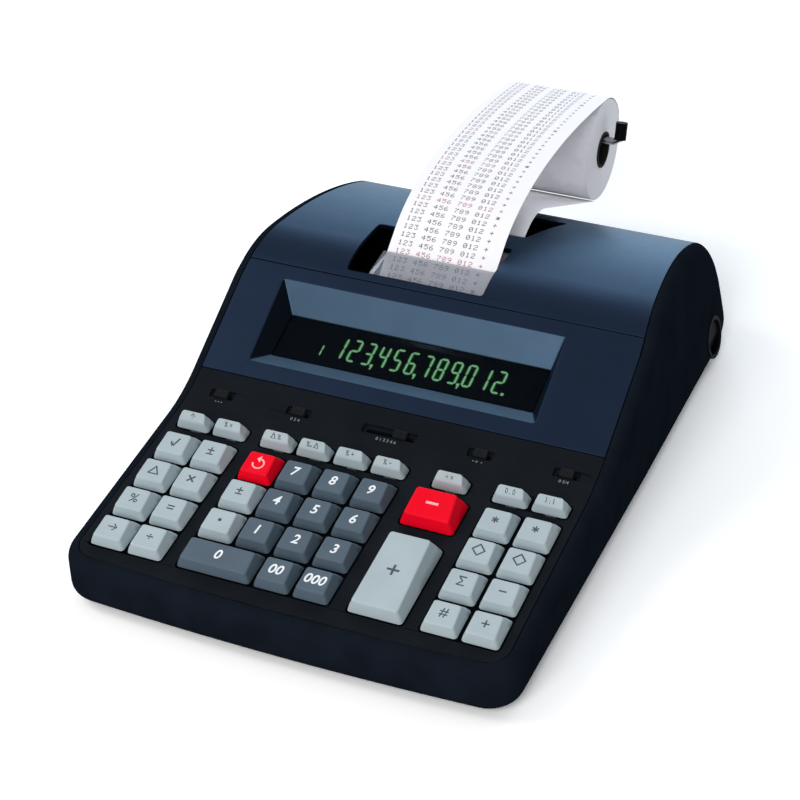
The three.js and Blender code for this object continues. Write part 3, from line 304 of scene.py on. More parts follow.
def brushed_steel(name, colour, roughness):
    shader = new_shader(name)
    streaks = shader.noise(900, 4, stretch=(0.15, 1, 1))
    rough = shader.scaled(streaks, roughness - 0.08, roughness + 0.1)
    shader.put(Base_Color=shader.tones(streaks, colour, 0.75), Metallic=1.0, Roughness=rough)
    return shader.put(Normal=shader.bump(streaks, 0.01 * MM, 0.4, Normal=shader.rounded(0.2 * MM)))


def paper_material(name, colour, centre=None):
    """Soft fibrous paper; the layers of a roll show as rings round its centre."""
    shader = new_shader(name)
    height = shader.noise(2600, 4, 0.6)
    base = shader.tones(shader.noise(90, 2), colour, 0.99)
    if centre:
        offset = shader.vector("SUBTRACT", shader.coordinates(), centre)
        flat = shader.vector("MULTIPLY", offset, (0, 1, 1))
        radius = shader.vector("LENGTH", flat, result="Value")
        waver = shader.math("MULTIPLY", shader.noise(60, 3), 0.0012)
        turns = shader.math("MULTIPLY", shader.math("ADD", radius, waver), 9000.0)
        layers = shader.math("MULTIPLY", shader.math("SINE", turns), 0.5)
        soft = shader.math("ADD", layers, 0.5)
        base = shader.mix(0.5, base, shader.tones(soft, colour, 0.8, 0, 0.6))
        height = shader.math("ADD", height, soft)
    shader.put(Base_Color=base, Roughness=0.85, Normal=shader.bump(height, 0.02 * MM, 0.5))
    return shader.put(Subsurface_Weight=0.06, Subsurface_Radius=(0.002, 0.002, 0.002))


def clear_plastic(name, colour, alpha, roughness, shine):
    shader = new_shader(name)
    rough = shader.scaled(shader.noise(120, 3), roughness, roughness + 0.04)
    tone = shader.ramp(shader.noise(40, 2), (0.3, colour), (0.7, shade(colour, 1.15)))
    return shader.put(Base_Color=tone, Roughness=rough, Alpha=alpha, Specular_IOR_Level=shine)


def circuit_laminate(name):
    """Green laminate with copper lands under its lacquer."""
    shader = new_shader(name)
    inputs = {"Scale": 140, "Vector": shader.coordinates()}
    cells = shader.node("TexVoronoi", inputs, feature="DISTANCE_TO_EDGE").outputs["Distance"]
    tracks = shader.ramp(cells, (0.04, srgb(62, 130, 70)), (0.06, srgb(20, 74, 38)))
    return shader.put(Base_Color=tracks, Roughness=0.35, Normal=shader.bump(cells, 0.03 * MM, 0.4))


def lamp_glass(name):
    """The dark glass of the display tube, with the fine mesh of its grid."""
    shader = new_shader(name)
    colours = {"Color1": srgb(9, 20, 13), "Color2": srgb(6, 14, 10), "Mortar": srgb(16, 30, 20)}
    weave = shader.node("TexBrick", {"Scale": 900, "Vector": shader.coordinates(), **colours})
    return shader.put(Base_Color=weave.outputs["Color"], Roughness=0.35)


def rubber(name):
    shader = new_shader(name)
    base = shader.ramp(shader.noise(300, 4), (0.35, srgb(26, 26, 27)), (0.7, srgb(44, 44, 46)))
    normal = shader.bump(shader.noise(2200, 3), 0.03 * MM, 0.5)
    return shader.put(Base_Color=base, Roughness=0.8, Normal=normal)


CASING = plastic("case_plastic", srgb(20, 25, 33), 0.52, edge_rub_and_highlight=0.1, shine=0)
PANEL = plastic("panel_plastic", srgb(20, 24, 29), 0.55, grain=0.03, edge_rub_and_highlight=0.1, shine=0.02)
COVER = lacquer("cover_lacquer", srgb(24, 34, 51))
# Paler and darker copies of the cover's lacquer for the recess's walls: painted light and painted
# shade
RECESS_PAINTED_LIGHT = lacquer("recess_painted_light_lacquer", srgb(55, 73, 90), 0.5)
RECESS_PAINTED_SHADE = lacquer("recess_painted_shade_lacquer", srgb(6, 10, 18), 0.5)
LIGHT = plastic("light_key_plastic", srgb(166, 180, 185), 0.5, radius=0.3, tint=0.03)
DARK = plastic("dark_key_plastic", srgb(76, 91, 103), 0.5, radius=0.3, tint=0.05)
RED = plastic(
    "red_key_plastic", srgb(234, 4, 34), 0.42, radius=0.3, tint=0.04, edge_rub_and_highlight=0.06, shine=0.08
)
KNOB = plastic("knob_plastic", srgb(27, 29, 31), 0.45, radius=0.2, shine=0.05)
ROCKER = plastic("rocker_plastic", srgb(12, 14, 18), 0.4, radius=0.4, shine=0.01)
CAP = plastic("cap_plastic", srgb(10, 11, 13), 0.5, shine=0.02)
CARD = plastic("core_card", srgb(34, 32, 31), 0.8, grain=0.05, shine=0.05)
WINDOW = clear_plastic("smoked_window", (0.0006, 0.002, 0.004, 1), 0.72, 0.07, 0.03)
TEAR = clear_plastic("tear_plate_plastic", srgb(120, 126, 140), 0.34, 0.12, 0.4)
LAMP = lamp_glass("lamp_glass")
BOARD = circuit_laminate("circuit_laminate")
STEEL = brushed_steel("brushed_steel", (0.36, 0.37, 0.39, 1), 0.32)
WIRE = brushed_steel("bright_wire", (0.42, 0.43, 0.45, 1), 0.25)
RUBBER = rubber("platen_rubber")
PAPER = paper_material("paper", srgb(247, 246, 250))
ROLL = paper_material("roll_paper", srgb(240, 240, 246), (PAPER_MIDDLE, ROLL_Y, ROLL_Z))
DARK_INK = ink("dark_ink", srgb(52, 60, 68))
WHITE_INK = ink("white_ink", srgb(236, 240, 244))
PALE_INK = ink("pale_ink", srgb(250, 176, 176))
PANEL_INK = ink("panel_ink", srgb(122, 128, 134))
PRINT_INK = ink("print_ink", srgb(112, 98, 112), 0.8)
RED_PRINT = ink("red_print_ink", srgb(176, 120, 136), 0.8)
GLOW = glowing("display_glow", (0.42, 1, 0.5, 1), 4.8)
HALO = glowing("display_halo", (0.01, 0.12, 0.015, 1), 3.2)


# Meshes and pieces


def new_object(name, data):
    made = bpy.data.objects.new(name, data)
    bpy.context.scene.collection.objects.link(made)
    return made


def make_mesh(name, points, faces, slots=None):
    mesh = bpy.data.meshes.new(name)
    mesh.from_pydata([tuple(p) for p in points], [], faces)
    if slots:
        mesh.polygons.foreach_set("material_index", slots)
    mesh.update()
    return mesh


@contextlib.contextmanager
def merged(mesh, distance):
    """A mesh opened for editing, with the points nearer than a distance made one."""
    work = bmesh.new()
    work.from_mesh(mesh)
    bmesh.ops.remove_doubles(work, verts=work.verts, dist=distance)
    yield work
    work.to_mesh(mesh)
    work.free()


MERGE_DISTANCE = 0.003 * MM


def merge_points(mesh):
    """Merge points that coincide and turn every face outward."""
    with merged(mesh, MERGE_DISTANCE) as work:
        bmesh.ops.recalc_face_normals(work, faces=work.faces)


def smooth(mesh, angle):
    mesh.shade_smooth()
    mesh.set_sharp_from_angle(angle=math.radians(angle))


def make_piece(name, mesh, body, nodes=(), materials=()):
    for material in materials:
        mesh.materials.append(material)
    piece = new_object(name, mesh)
    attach(piece, body)
    if nodes:
        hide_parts(*nodes)
    return piece


def add_piece(name, form, body, nodes=(), materials=(), angle=0, merge=False):
    """A piece from a form, shaded smooth up to an angle in degrees."""
    mesh = make_mesh(name, *form)
    if merge:
        merge_points(mesh)
    if angle:
        smooth(mesh, angle)
    return make_piece(name, mesh, body, nodes, materials)


def evaluated_mesh(thing):
    graph = bpy.context.evaluated_depsgraph_get()
    return bpy.data.meshes.new_from_object(thing.evaluated_get(graph))


def modify(piece, kind, **settings):
    """Add a modifier to a piece and apply it at once."""
    modifier = piece.modifiers.new(kind.lower(), kind)
    for name, value in settings.items():
        setattr(modifier, name, value)
    old, mesh = piece.data, evaluated_mesh(piece)
    piece.modifiers.clear()
    piece.data = mesh
    bpy.data.meshes.remove(old)


def round_edges(piece, width, segments, angle):
    shape = {"width": width, "segments": segments, "angle_limit": math.radians(angle)}
    ways = {"limit_method": "ANGLE", "use_clamp_overlap": False, "miter_outer": "MITER_ARC"}
    modify(piece, "BEVEL", **ways, **shape)


def even_shading(piece, angle):
    """Smooth shading whose large faces set the normals, so that cuts leave no creases."""
    smooth(piece.data, angle)
    modify(piece, "WEIGHTED_NORMAL", keep_sharp=True, weight=100)


REACH = 20 * MM  # of a cutting tool, past what it cuts


def boolean(piece, form, operation="DIFFERENCE", solver="MANIFOLD"):
    """Cut a closed form from a piece, or join it on."""
    mesh = make_mesh("tool", *form)
    merge_points(mesh)
    tool = new_object("tool", mesh)
    modify(piece, "BOOLEAN", operation=operation, solver=solver, object=tool)
    bpy.data.objects.remove(tool)
    bpy.data.meshes.remove(mesh)


# Points and forms


def steps_between(low, high, count):
    return [low + (high - low) * k / count for k in range(count + 1)]


def line_between(start, end, count):
    """The points inside a straight stretch, without its ends."""
    (ax, ay), (bx, by) = start[:2], end[:2]
    return [(ax + (bx - ax) * k, ay + (by - ay) * k) for k in steps_between(0, 1, count)[1:-1]]


def on_circle(centre, radius, angle):
    return (centre[0] + radius * math.cos(angle), centre[1] + radius * math.sin(angle))


def arc(centre, radius, start, end, steps):
    return [on_circle(centre, radius, angle) for angle in steps_between(start, end, steps)]


def curve(points, steps):
    """A smooth line from the first point to the last, drawn towards those between."""
    order = len(points) - 1
    line = []
    for t in steps_between(0, 1, steps):
        pulls = [math.comb(order, k) * t**k * (1 - t) ** (order - k) for k in range(order + 1)]
        line.append(tuple(sum(p * c for p, c in zip(pulls, axis)) for axis in zip(*points)))
    return line


def rounded_rectangle(half_x, half_y, radius, steps, sides=0):
    """Points counterclockwise about the origin; sides counts those along each straight side."""
    corners = []
    for quarter, (sx, sy) in enumerate(((1, 1), (-1, 1), (-1, -1), (1, -1))):
        centre = (sx * (half_x - radius), sy * (half_y - radius))
        corners.append(arc(centre, radius, quarter * QUARTER, (quarter + 1) * QUARTER, steps))
    points = []
    for k, corner in enumerate(corners):
        points += corner + line_between(corner[-1], corners[(k + 1) % 4][0], sides + 1)
    return points


def moved(outline, x, y):
    return [(x + a, y + b) for a, b in outline]


def widened(bounds, margin):
    left, right, front, rear = bounds
    return (left - margin, right + margin, front - margin, rear + margin)


def rounded_box(bounds, radius, steps):
    """A rounded rectangle between left, right, front and rear."""
    left, right, front, rear = bounds
    outline = rounded_rectangle((right - left) / 2, (rear - front) / 2, radius, steps)
    return moved(outline, (left + right) / 2, (front + rear) / 2)


def loft(rings, ends=True, looped=False):
    """The skin through rings of equal count; a looped one returns to its first ring."""
    count = len(rings[0])
    points = [p for ring in rings for p in ring]
    faces = []
    for k in range(len(rings) - (0 if looped else 1)):
        a, b = k * count, (k + 1) % len(rings) * count
        for i in range(count):
            j = (i + 1) % count
            faces.append((a + i, a + j, b + j, b + i))
    if ends:
        faces.append(tuple(range(count))[::-1])
        faces.append(tuple(range(len(points) - count, len(points))))
    return points, faces


def set_in(place, form):
    """A form carried to a place."""
    points, *rest = form
    return ([place @ Vector(p) for p in points], *rest)


def prism(outline, low, high, place):
    """A prism that stands on an outline in the local XY plane of a place."""
    return set_in(place, loft([[(x, y, z) for x, y in outline] for z in (low, high)]))


def revolved(profile, place, sides=48, looped=False):
    """A form turned about the local Z of a place; the profile holds (height, radius)."""
    turns = [2 * math.pi * i / sides for i in range(sides)]
    rings = [[(r * math.cos(a), r * math.sin(a), z) for a in turns] for z, r in profile]
    return set_in(place, loft(rings, False, looped))


def joined(parts):
    """One form from several; a part may name its slot after its points and faces."""
    points, faces, slots = [], [], []
    for some_points, some_faces, *slot in parts:
        start = len(points)
        points.extend(some_points)
        faces.extend(tuple(start + i for i in face) for face in some_faces)
        slots.extend((slot or [0]) * len(some_faces))
    return points, faces, slots


def box_form(low, high, soft=0.0):
    """A box; soft rounds its upright edges and those round its top."""
    (x, half_x), (y, half_y) = (((h + l) / 2, (h - l) / 2) for l, h in zip(low[:2], high[:2]))
    outline = inner = [(half_x, half_y), (-half_x, half_y), (-half_x, -half_y), (half_x, -half_y)]
    levels = [(low[2], 0), (high[2] - soft, 0)]
    if soft:
        outline = rounded_rectangle(half_x, half_y, soft, 3)
        inner = rounded_rectangle(half_x - soft, half_y - soft, 1e-5, 3)
        for angle in steps_between(0, QUARTER, 3)[1:]:
            levels.append((high[2] - soft + soft * math.sin(angle), 1 - math.cos(angle)))
    rings = []
    for z, share in levels:
        pairs = zip(outline, inner)
        spots = [(a + (c - a) * share, b + (d - b) * share) for (a, b), (c, d) in pairs]
        rings.append([(x + a, y + b, z) for a, b in spots])
    return loft(rings)


def side_frame(y, z, angle):
    return Matrix.Translation((0, y, z)) @ Matrix.Rotation(angle, 4, "X")


def frame_at(station):
    """The frame of a station of the top line, its Y along the line and its Z outward."""
    y, z, angle = station
    return side_frame(y + NOSE_Y, z, angle)


def in_machine(points):
    """From distances behind the front face to the machine's own frame."""
    return [(x, y + NOSE_Y, z) for x, y, z in points]


# The line of the top, seen from the side: stations (y, z, slope) from the nose to the back


def knee_corner():
    return (KEY_FRONT + KNEE_RUN, PANEL_HEIGHT + KNEE_RUN * math.tan(PANEL_ANGLE))


def knee_centre():
    y, z = knee_corner()
    reach = KNEE_RADIUS * math.tan((COVER_ANGLE - PANEL_ANGLE) / 2)
    start = (y - reach * math.cos(PANEL_ANGLE), z - reach * math.sin(PANEL_ANGLE))
    return on_circle(start, KNEE_RADIUS, PANEL_ANGLE + QUARTER)


def knee_station(angle):
    return (*on_circle(knee_centre(), KNEE_RADIUS, angle - QUARTER), angle)


def dome_station(centre, radius, angle):
    return (*on_circle(centre, radius, angle + QUARTER), angle)


def straight(start, end, count):
    """Stations from one point to another, with the slope that the first one gives."""
    points = [start[:2]] + line_between(start, end, count) + [end[:2]]
    return [(*point, start[2]) for point in points]


class TopLine:
    """The three stretches of the top line: panel, display and printer."""

    def __init__(self):
        self.nose = (0, PANEL_HEIGHT - KEY_FRONT * math.tan(PANEL_ANGLE), PANEL_ANGLE)
        knees = [knee_station(a) for a in steps_between(PANEL_ANGLE, COVER_ANGLE, 18)]
        self.panel = [self.nose] + knees
        y, z = knee_corner()
        seam = (y + SEAM_RUN, z + SEAM_RUN * math.tan(COVER_ANGLE))
        self.display = straight(knees[-1], seam, 6)
        self.brow = on_circle(seam, BROW_RADIUS, COVER_ANGLE - QUARTER)
        brow_y, brow_z = self.brow
        slack = RIDGE_RADIUS - TAIL_RADIUS
        run = CASE_DEPTH - TAIL_RUN - brow_y - TAIL_RADIUS * math.sin(TAIL_ANGLE)
        crown = min(RIDGE_ANGLE, math.asin(run / slack))
        ridge = (brow_y + run - slack * math.sin(crown), brow_z + BROW_RADIUS - RIDGE_RADIUS)
        tail = on_circle(ridge, slack, QUARTER - crown)
        self.printer = [
            dome_station(centre, radius, angle)
            for centre, radius, angles in (
                (self.brow, BROW_RADIUS, steps_between(COVER_ANGLE, 0, 18)),
                (ridge, RIDGE_RADIUS, steps_between(0, -crown, 18)),
                (tail, TAIL_RADIUS, steps_between(-crown, -TAIL_ANGLE, 16)[1:]),
            )
            for angle in angles
        ]
        self.end = self.printer[-1]
        corner = (CASE_DEPTH, self.end[1] - TAIL_RUN * math.tan(TAIL_ANGLE))
        toe = (CASE_DEPTH - REAR_TOE_RUN, FOOT_HEIGHT)
        rise = on_circle(corner, REAR_CORNER, math.pi - TAIL_ANGLE)
        share = 1 - REAR_CORNER / math.dist(corner, toe)
        fall = tuple(t + (c - t) * share for t, c in zip(toe, corner))
        turn = curve((rise, corner, fall), 48)
        peak = max(range(len(turn)), key=lambda k: turn[k][0])
        upper = [(-NOSE_RUN, self.nose[1] - NOSE_RUN * math.tan(PANEL_ANGLE)), self.nose[:2]]
        for part in (self.panel, self.display, self.printer, straight(self.end, rise, 8)):
            upper += [station[:2] for station in part[1:]]
        upper += turn[1 : peak + 1]
        lower = [(-NOSE_RUN, FOOT_HEIGHT), toe, fall] + turn[::-1][1 : len(turn) - peak]
        self.upper, self.lower = np.array(sorted(upper)), np.array(sorted(lower))
        self.last = turn[peak][0]

    def top(self, y):
        return float(np.interp(y, self.upper[:, 0], self.upper[:, 1]))

    def low(self, y):
        return float(np.interp(y, self.lower[:, 0], self.lower[:, 1]))

    def slope(self, y):
        d = 0.3 * MM
        return math.atan2(self.top(y + d) - self.top(y - d), 2 * d)


LINE = TopLine()


def lean_share(y):
    """How far the sides lean in at a distance from the front, as a share of the height."""
    return max(y - TWIST_RUN, 0) / (CASE_DEPTH - TWIST_RUN) * math.tan(REAR_LEAN)


class Plan:
    """The case seen from above, less an inset: the front bows forward between round corners."""

    def __init__(self, side=0.0, front=0.0, rear=0.0):
        self.radius = PLAN_RADIUS - side
        self.corner_x = CASE_WIDTH / 2 - PLAN_RADIUS
        self.bow_y = BOW_RADIUS - NOSE_RUN
        self.bow = BOW_RADIUS - front
        reach = self.bow - self.radius
        self.turn = math.asin(self.corner_x / reach)
        self.front_y = self.bow_y - reach * math.cos(self.turn)
        self.edge = CASE_DEPTH - rear
        self.rear_y = self.edge - self.radius

    def outline(self, square=0):
        """Points counterclockwise from the right side's rear end; at 1 the rear is square."""
        x, radius = self.corner_x, self.radius
        front, rear = 3 * QUARTER - self.turn, 3 * QUARTER + self.turn
        rounding = radius * (1 - square)
        rear_x, rear_y = x + radius - rounding, self.edge - rounding
        rear_right = arc((rear_x, rear_y), rounding, 0, QUARTER, 8)
        rear_left = arc((-rear_x, rear_y), rounding, QUARTER, 2 * QUARTER, 8)
        front_left = arc((-x, self.front_y), radius, 2 * QUARTER, front, 12)
        front_right = arc((x, self.front_y), radius, rear, 4 * QUARTER, 12)
        return (
            rear_right
            + line_between(rear_right[-1], rear_left[0], 24)
            + rear_left
            + line_between(rear_left[-1], front_left[0], 120)
            + front_left
            + arc((0, self.bow_y), self.bow, front, rear, 40)[1:-1]
            + front_right
            + line_between(front_right[-1], rear_right[0], 120)
        )

    def half_width(self, y, z):
        if y < self.bow_y - self.bow * math.cos(self.turn):
            width = math.sqrt(max(self.bow**2 - (self.bow_y - y) ** 2, 0))
        else:
            into = max(self.front_y - y, y - self.rear_y, 0)
            width = self.corner_x + math.sqrt(max(self.radius**2 - into**2, 0))
        return width - lean_share(y) * z

    def front_places(self):
        """Distances from the front at which to cut sections, from the bow to the corners' ends."""
        meet = self.bow * math.sin(self.turn)
        bow = [self.bow_y - math.sqrt(self.bow**2 - (meet * k / 12) ** 2) for k in range(13)]
        turns = steps_between(self.turn, QUARTER, 10)[1:]
        return bow + [self.front_y - self.radius * math.cos(turn) for turn in turns]


# Signs and figures

SIGN_DEPTH = 0.1 * MM
SIGN_LIFT = 0.03 * MM
FIGURE_HEIGHT = 0.72  # of a figure in a text of size 1


def glyph(text, height, bold=0.0, slant=0.0):
    """The form of a text, centred on its middle, lying flat."""
    outline = bpy.data.curves.new("glyph", "FONT")
    outline.body = text
    outline.size = 1
    outline.shear = slant
    outline.offset = bold
    outline.resolution_u = 3
    outline.extrude = 0.5
    outline.align_x = "CENTER"
    holder = new_object("glyph", outline)
    mesh = evaluated_mesh(holder)
    points = np.array([v.co[:] for v in mesh.vertices])
    faces = [tuple(p.vertices) for p in mesh.polygons]
    bpy.data.objects.remove(holder)
    bpy.data.curves.remove(outline)
    bpy.data.meshes.remove(mesh)
    low, high = points[:, :2].min(0), points[:, :2].max(0)
    points[:, :2] = (points[:, :2] - (low + high) / 2) * height / FIGURE_HEIGHT
    points[:, 2] *= SIGN_DEPTH
    return points, faces


def laid(sign, surface, x, y, slot=0):
    """A sign put down on a surface at (x, y)."""
    points, faces = sign
    lift = SIGN_LIFT - SIGN_DEPTH / 2
    placed = [(x + px, y + py, surface(x + px, y + py) + lift + pz) for px, py, pz in points]
    return placed, faces, slot


# Keys

KEY_FRAME = side_frame(KEY_FRONT + NOSE_Y, PANEL_HEIGHT, PANEL_ANGLE)


class Cap:
    """The shape of one key, about the middle of its foot."""

    def __init__(self, width, length, sizes):
        self.width, self.length = width, length
        self.front, self.back, front_inset, back_inset, self.stem = sizes
        self.face_front = front_inset - length / 2
        self.face_back = length / 2 - back_inset
        self.middle = (self.face_front + self.face_back) / 2

    def plane(self, y):
        share = (y - self.face_front) / (self.face_back - self.face_front)
        return self.front + share * (self.back - self.front)

    def face(self, x, y):
        """Height of the finger face, with its hollow."""
        z = self.plane(y)
        u = min(abs(x) / (self.width / 2 - KEY_TAPER * z - KEY_EDGE), 1)
        v = min(abs(y - self.middle) / (self.face_back - self.middle - KEY_EDGE), 1)
        return z - KEY_DISH * (1 - u * u) * (1 - v * v)

    def lift(self, x, y, rise, inward=0.0, down=0.0):
        """A point of the foot's outline carried up the leaning sides."""
        reach = self.face_back - self.face_front
        top_y = self.face_front + (y / self.length + 0.5) * reach
        top_z = self.plane(top_y)
        lean = 1 - 2 * (KEY_TAPER * top_z * rise + inward) / self.width
        middle = self.middle * rise
        room = (self.length + (reach - self.length) * rise) / 2
        new_y = middle + (y + (top_y - y) * rise - middle) * (1 - inward / room)
        if rise == 1:
            top_z = self.plane(new_y)
        return (x * lean, new_y, top_z * rise - KEY_DROP * (1 - rise) - down)

    def shell(self):
        """From the ceiling down inside, round the foot, up the sides and over the face."""
        half_x, half_y = self.width / 2, self.length / 2
        outline = rounded_rectangle(half_x, half_y, KEY_CORNER, 5, 7)
        inner = rounded_rectangle(half_x - KEY_WALL, half_y - KEY_WALL, KEY_CORNER / 2, 5, 7)
        taper, height = CEILING_TAPER, self.front * CEILING_SHARE
        ceiling = [(x * taper, y * taper, height) for x, y in inner]
        rings = [ceiling, [(x, y, -KEY_DROP) for x, y in inner]]
        climb = [(0, KEY_FOOT), (KEY_FOOT / self.front,), (0.5,)]
        for angle in steps_between(0, QUARTER, 5):
            climb.append((1, KEY_EDGE * (1 - math.cos(angle)), KEY_EDGE * (1 - math.sin(angle))))
        rings += [[self.lift(x, y, *step) for x, y in outline] for step in climb]
        edge = rings[-1]
        for scale in (0.92, 0.8, 0.62, 0.4, 0.18):
            spots = [(x * scale, self.middle + (y - self.middle) * scale) for x, y, _ in edge]
            rings.append([(x, y, self.face(x, y)) for x, y in spots])
        return loft([ring[::-1] for ring in rings[::-1]])


# Each key's sign, and its height in millimetres
SIGNS = {
    "key_advance": ("→", 4.4),
    "key_divide": ("÷", 5),
    "key_percent": ("%", 4.8),
    "key_equals": ("=", 5.2),
    "key_difference": ("△", 4.6),
    "key_multiply": ("×", 6.4),
    "key_check": ("√", 5.2),
    "key_rate": ("±", 5.2),
    "key_0": ("0", 4.9),
    "key_00": ("00", 4.9),
    "key_000": ("000", 4.9),
    "key_point": ("•", 5),
    "key_sign": ("±", 5),
    "key_clear": ("↺", 6),
    "key_count": ("#", 4.8),
    "key_memory_plus": ("+", 5.4),
    "key_grand_total": ("Σ", 4.8),
    "key_memory_minus": ("−", 5.4),
    "key_subtotal": ("◇", 5),
    "key_memory_subtotal": ("◇", 5),
    "key_total": ("∗", 6.4),
    "key_memory_total": ("∗", 6.4),
    "key_plus": ("+", 8.6),
    "key_minus": ("−", 9),
    "function_key_1": ("↑", 2.4),
}
NARROW_SIGNS = ("% ×", "△ %", "‰ △", "% +", "% −", "÷ ×", "0 . 0", "1 : 1")
SIGNS |= {"function_key_%d" % (k + 2): (sign, 2) for k, sign in enumerate(NARROW_SIGNS)}
SIGNS |= {"key_" + figure: (figure, 4.9) for figure in "123456789"}
BIG_KEYS = {"key_plus", "key_minus"}
RED_KEYS = {"key_clear", "key_minus"}


def key_sizes(name):
    if name.startswith("function"):
        return NARROW_CAP
    return BIG_CAP if name in BIG_KEYS else PLAIN_CAP


def key_extent(name):
    """Left, right, front and rear of a key's foot, in the plane of the panel."""
    inverse = KEY_FRAME.inverted()
    spots = [inverse @ v.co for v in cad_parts[name].data.vertices]
    return [end(p[axis] for p in spots) for axis in (0, 1) for end in (min, max)]


def make_key(name):
    left, right, front, rear = key_extent(name)
    cap = Cap(right - left, rear - front, key_sizes(name))
    half = (STEM_WIDTH / 2, cap.stem / 2)
    stem = box_form((-half[0], -half[1], -STEM_REACH), (*half, cap.front * STEM_SHARE))
    text, height = SIGNS[name]
    dark = text[0].isdigit() and not name.startswith("function")
    sign = glyph(text, height * MM, *(LEANING if dark else UPRIGHT))
    shift = SMALL_SIGN_SHIFT if name.startswith("function") else SIGN_SHIFT
    form = joined([cap.shell(), stem, laid(sign, cap.face, 0, cap.middle + shift, 1)])
    place = KEY_FRAME @ Matrix.Translation(((left + right) / 2, (front + rear) / 2, 0))
    looks = ("light_key", (LIGHT, DARK_INK))
    if name in RED_KEYS:
        looks = ("red_key", (RED, PALE_INK))
    elif dark:
        looks = ("dark_key", (DARK, WHITE_INK))
    add_piece(name + "_cap", set_in(place, form), name, (name,), looks[1], 40)


# Slide switches

SLIDE_RUN = 108.6 * MM
SLIDE_ANGLE = math.asin((KEY_FRONT + SLIDE_RUN - knee_centre()[0]) / KNEE_RADIUS)
SLIDE_FRAME = frame_at(knee_station(SLIDE_ANGLE))
SLIDE_MIDDLES = [-86.7 * MM, -45.7 * MM, 1.5 * MM, 47.5 * MM, 89.7 * MM]
SLIDE_MARKS = ("• • •", "0 2 4", "0 1 2 3 4 6", "• =  •", "0 5/4")
MARK_Y = -4.6 * MM
MARK_HEIGHT = 1.7 * MM
KNOB_HALF = (3.3 * MM, 2.1 * MM)
KNOB_LOW, KNOB_TOP = -1.5 * MM, 1.7 * MM
KNOB_EDGE = 0.35 * MM
KNOB_RIBS = 5
RIB_SHARE = 0.6  # of the distance between ribs
RIB_INSET = 0.3 * MM
RIB_STAND = 0.5 * MM
RIB_ROOT = 0.4 * MM
RIB_EDGE = 0.15 * MM
TONGUE_HALF = (1.1 * MM, 0.8 * MM)
TONGUE_LOW = -11 * MM
TONGUE_ROOT = 0.2 * MM


def make_slide(name):
    """A ribbed knob on a tongue that goes down through the panel."""
    low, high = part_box(name)
    half_x, half_y = KNOB_HALF
    top = KNOB_TOP - RIB_STAND
    parts = [box_form((-half_x, -half_y, KNOB_LOW), (half_x, half_y, top), KNOB_EDGE)]
    pitch = 2 * half_x / KNOB_RIBS
    rib_x, rib_y = pitch * RIB_SHARE / 2, half_y - RIB_INSET
    for k in range(KNOB_RIBS):
        middle = -half_x + (k + 0.5) * pitch
        foot = (middle - rib_x, -rib_y, top - RIB_ROOT)
        parts.append(box_form(foot, (middle + rib_x, rib_y, KNOB_TOP), RIB_EDGE))
    foot = (-TONGUE_HALF[0], -TONGUE_HALF[1], TONGUE_LOW)
    parts.append(box_form(foot, (*TONGUE_HALF, KNOB_LOW + TONGUE_ROOT)))
    place = SLIDE_FRAME @ Matrix.Translation(((low[0] + high[0]) / 2, 0, 0))
    form = set_in(place, joined(parts))
    add_piece(name + "_knob", form, name, (name,), (KNOB,), 40)


def knee_surface(_, y):
    return KNEE_RADIUS - math.sqrt(KNEE_RADIUS**2 - y**2)


def make_slide_marks():
    """Small figures printed on the panel in front of the slide switches."""
    parts = []
    for x, text in zip(SLIDE_MIDDLES, SLIDE_MARKS):
        parts.append(laid(glyph(text, MARK_HEIGHT, 0.01), knee_surface, x, MARK_Y))
    form = set_in(SLIDE_FRAME, joined(parts))
    add_piece("slide_marks", form, "case", (), (PANEL_INK,))


# Paper

FEED_ANGLE = math.radians(25)
LIP_Y = 283 * MM + NOSE_Y
LIP_BEND = 18 * MM
EXIT_ANGLE = math.radians(37)
EXIT_RUN = 23 * MM
ARCH_START = 34 * MM
ARCH_END = 70 * MM
ARCH_LAND = math.radians(80)
ARCH_STOP = math.radians(18)


def paper_line():
    """The sheet in the side view, and where the part that has left the platen starts."""
    roll, platen = (ROLL_Y, ROLL_Z), (PLATEN_Y, PLATEN_Z)
    outside = ROLL_RADIUS + WEB_GAP + PAPER_ROOM / 2
    leave = on_circle(roll, outside, -QUARTER - FEED_ANGLE)
    lip = (LIP_Y, leave[1] + (leave[0] - LIP_Y) * math.tan(FEED_ANGLE))
    control = on_circle(lip, LIP_BEND, math.pi - FEED_ANGLE)
    wrap = PLATEN_RADIUS + WEB_GAP + PAPER_ROOM / 2
    away = math.dist(control, platen)
    bearing = math.atan2(control[1] - platen[1], control[0] - platen[0])
    touch = bearing - math.acos(wrap / away)
    run = on_circle(platen, wrap, touch)
    length = math.dist(run, control)
    end = tuple(c + (r - c) * LIP_BEND / length for c, r in zip(control, run))
    wrapped = arc(platen, wrap, touch, QUARTER + EXIT_ANGLE - 2 * math.pi, 40)
    out = on_circle(wrapped[-1], EXIT_RUN, EXIT_ANGLE)
    land = on_circle(roll, outside, ARCH_LAND)
    pulls = on_circle(out, ARCH_START, EXIT_ANGLE), on_circle(land, -ARCH_END, ARCH_LAND - QUARTER)
    back = arc(roll, outside, ARCH_LAND, ARCH_STOP, 24)[1:]
    before = [leave] + curve((lip, control, end), 12) + wrapped
    return before + curve((out, *pulls, land), 64) + back, len(before) - 1


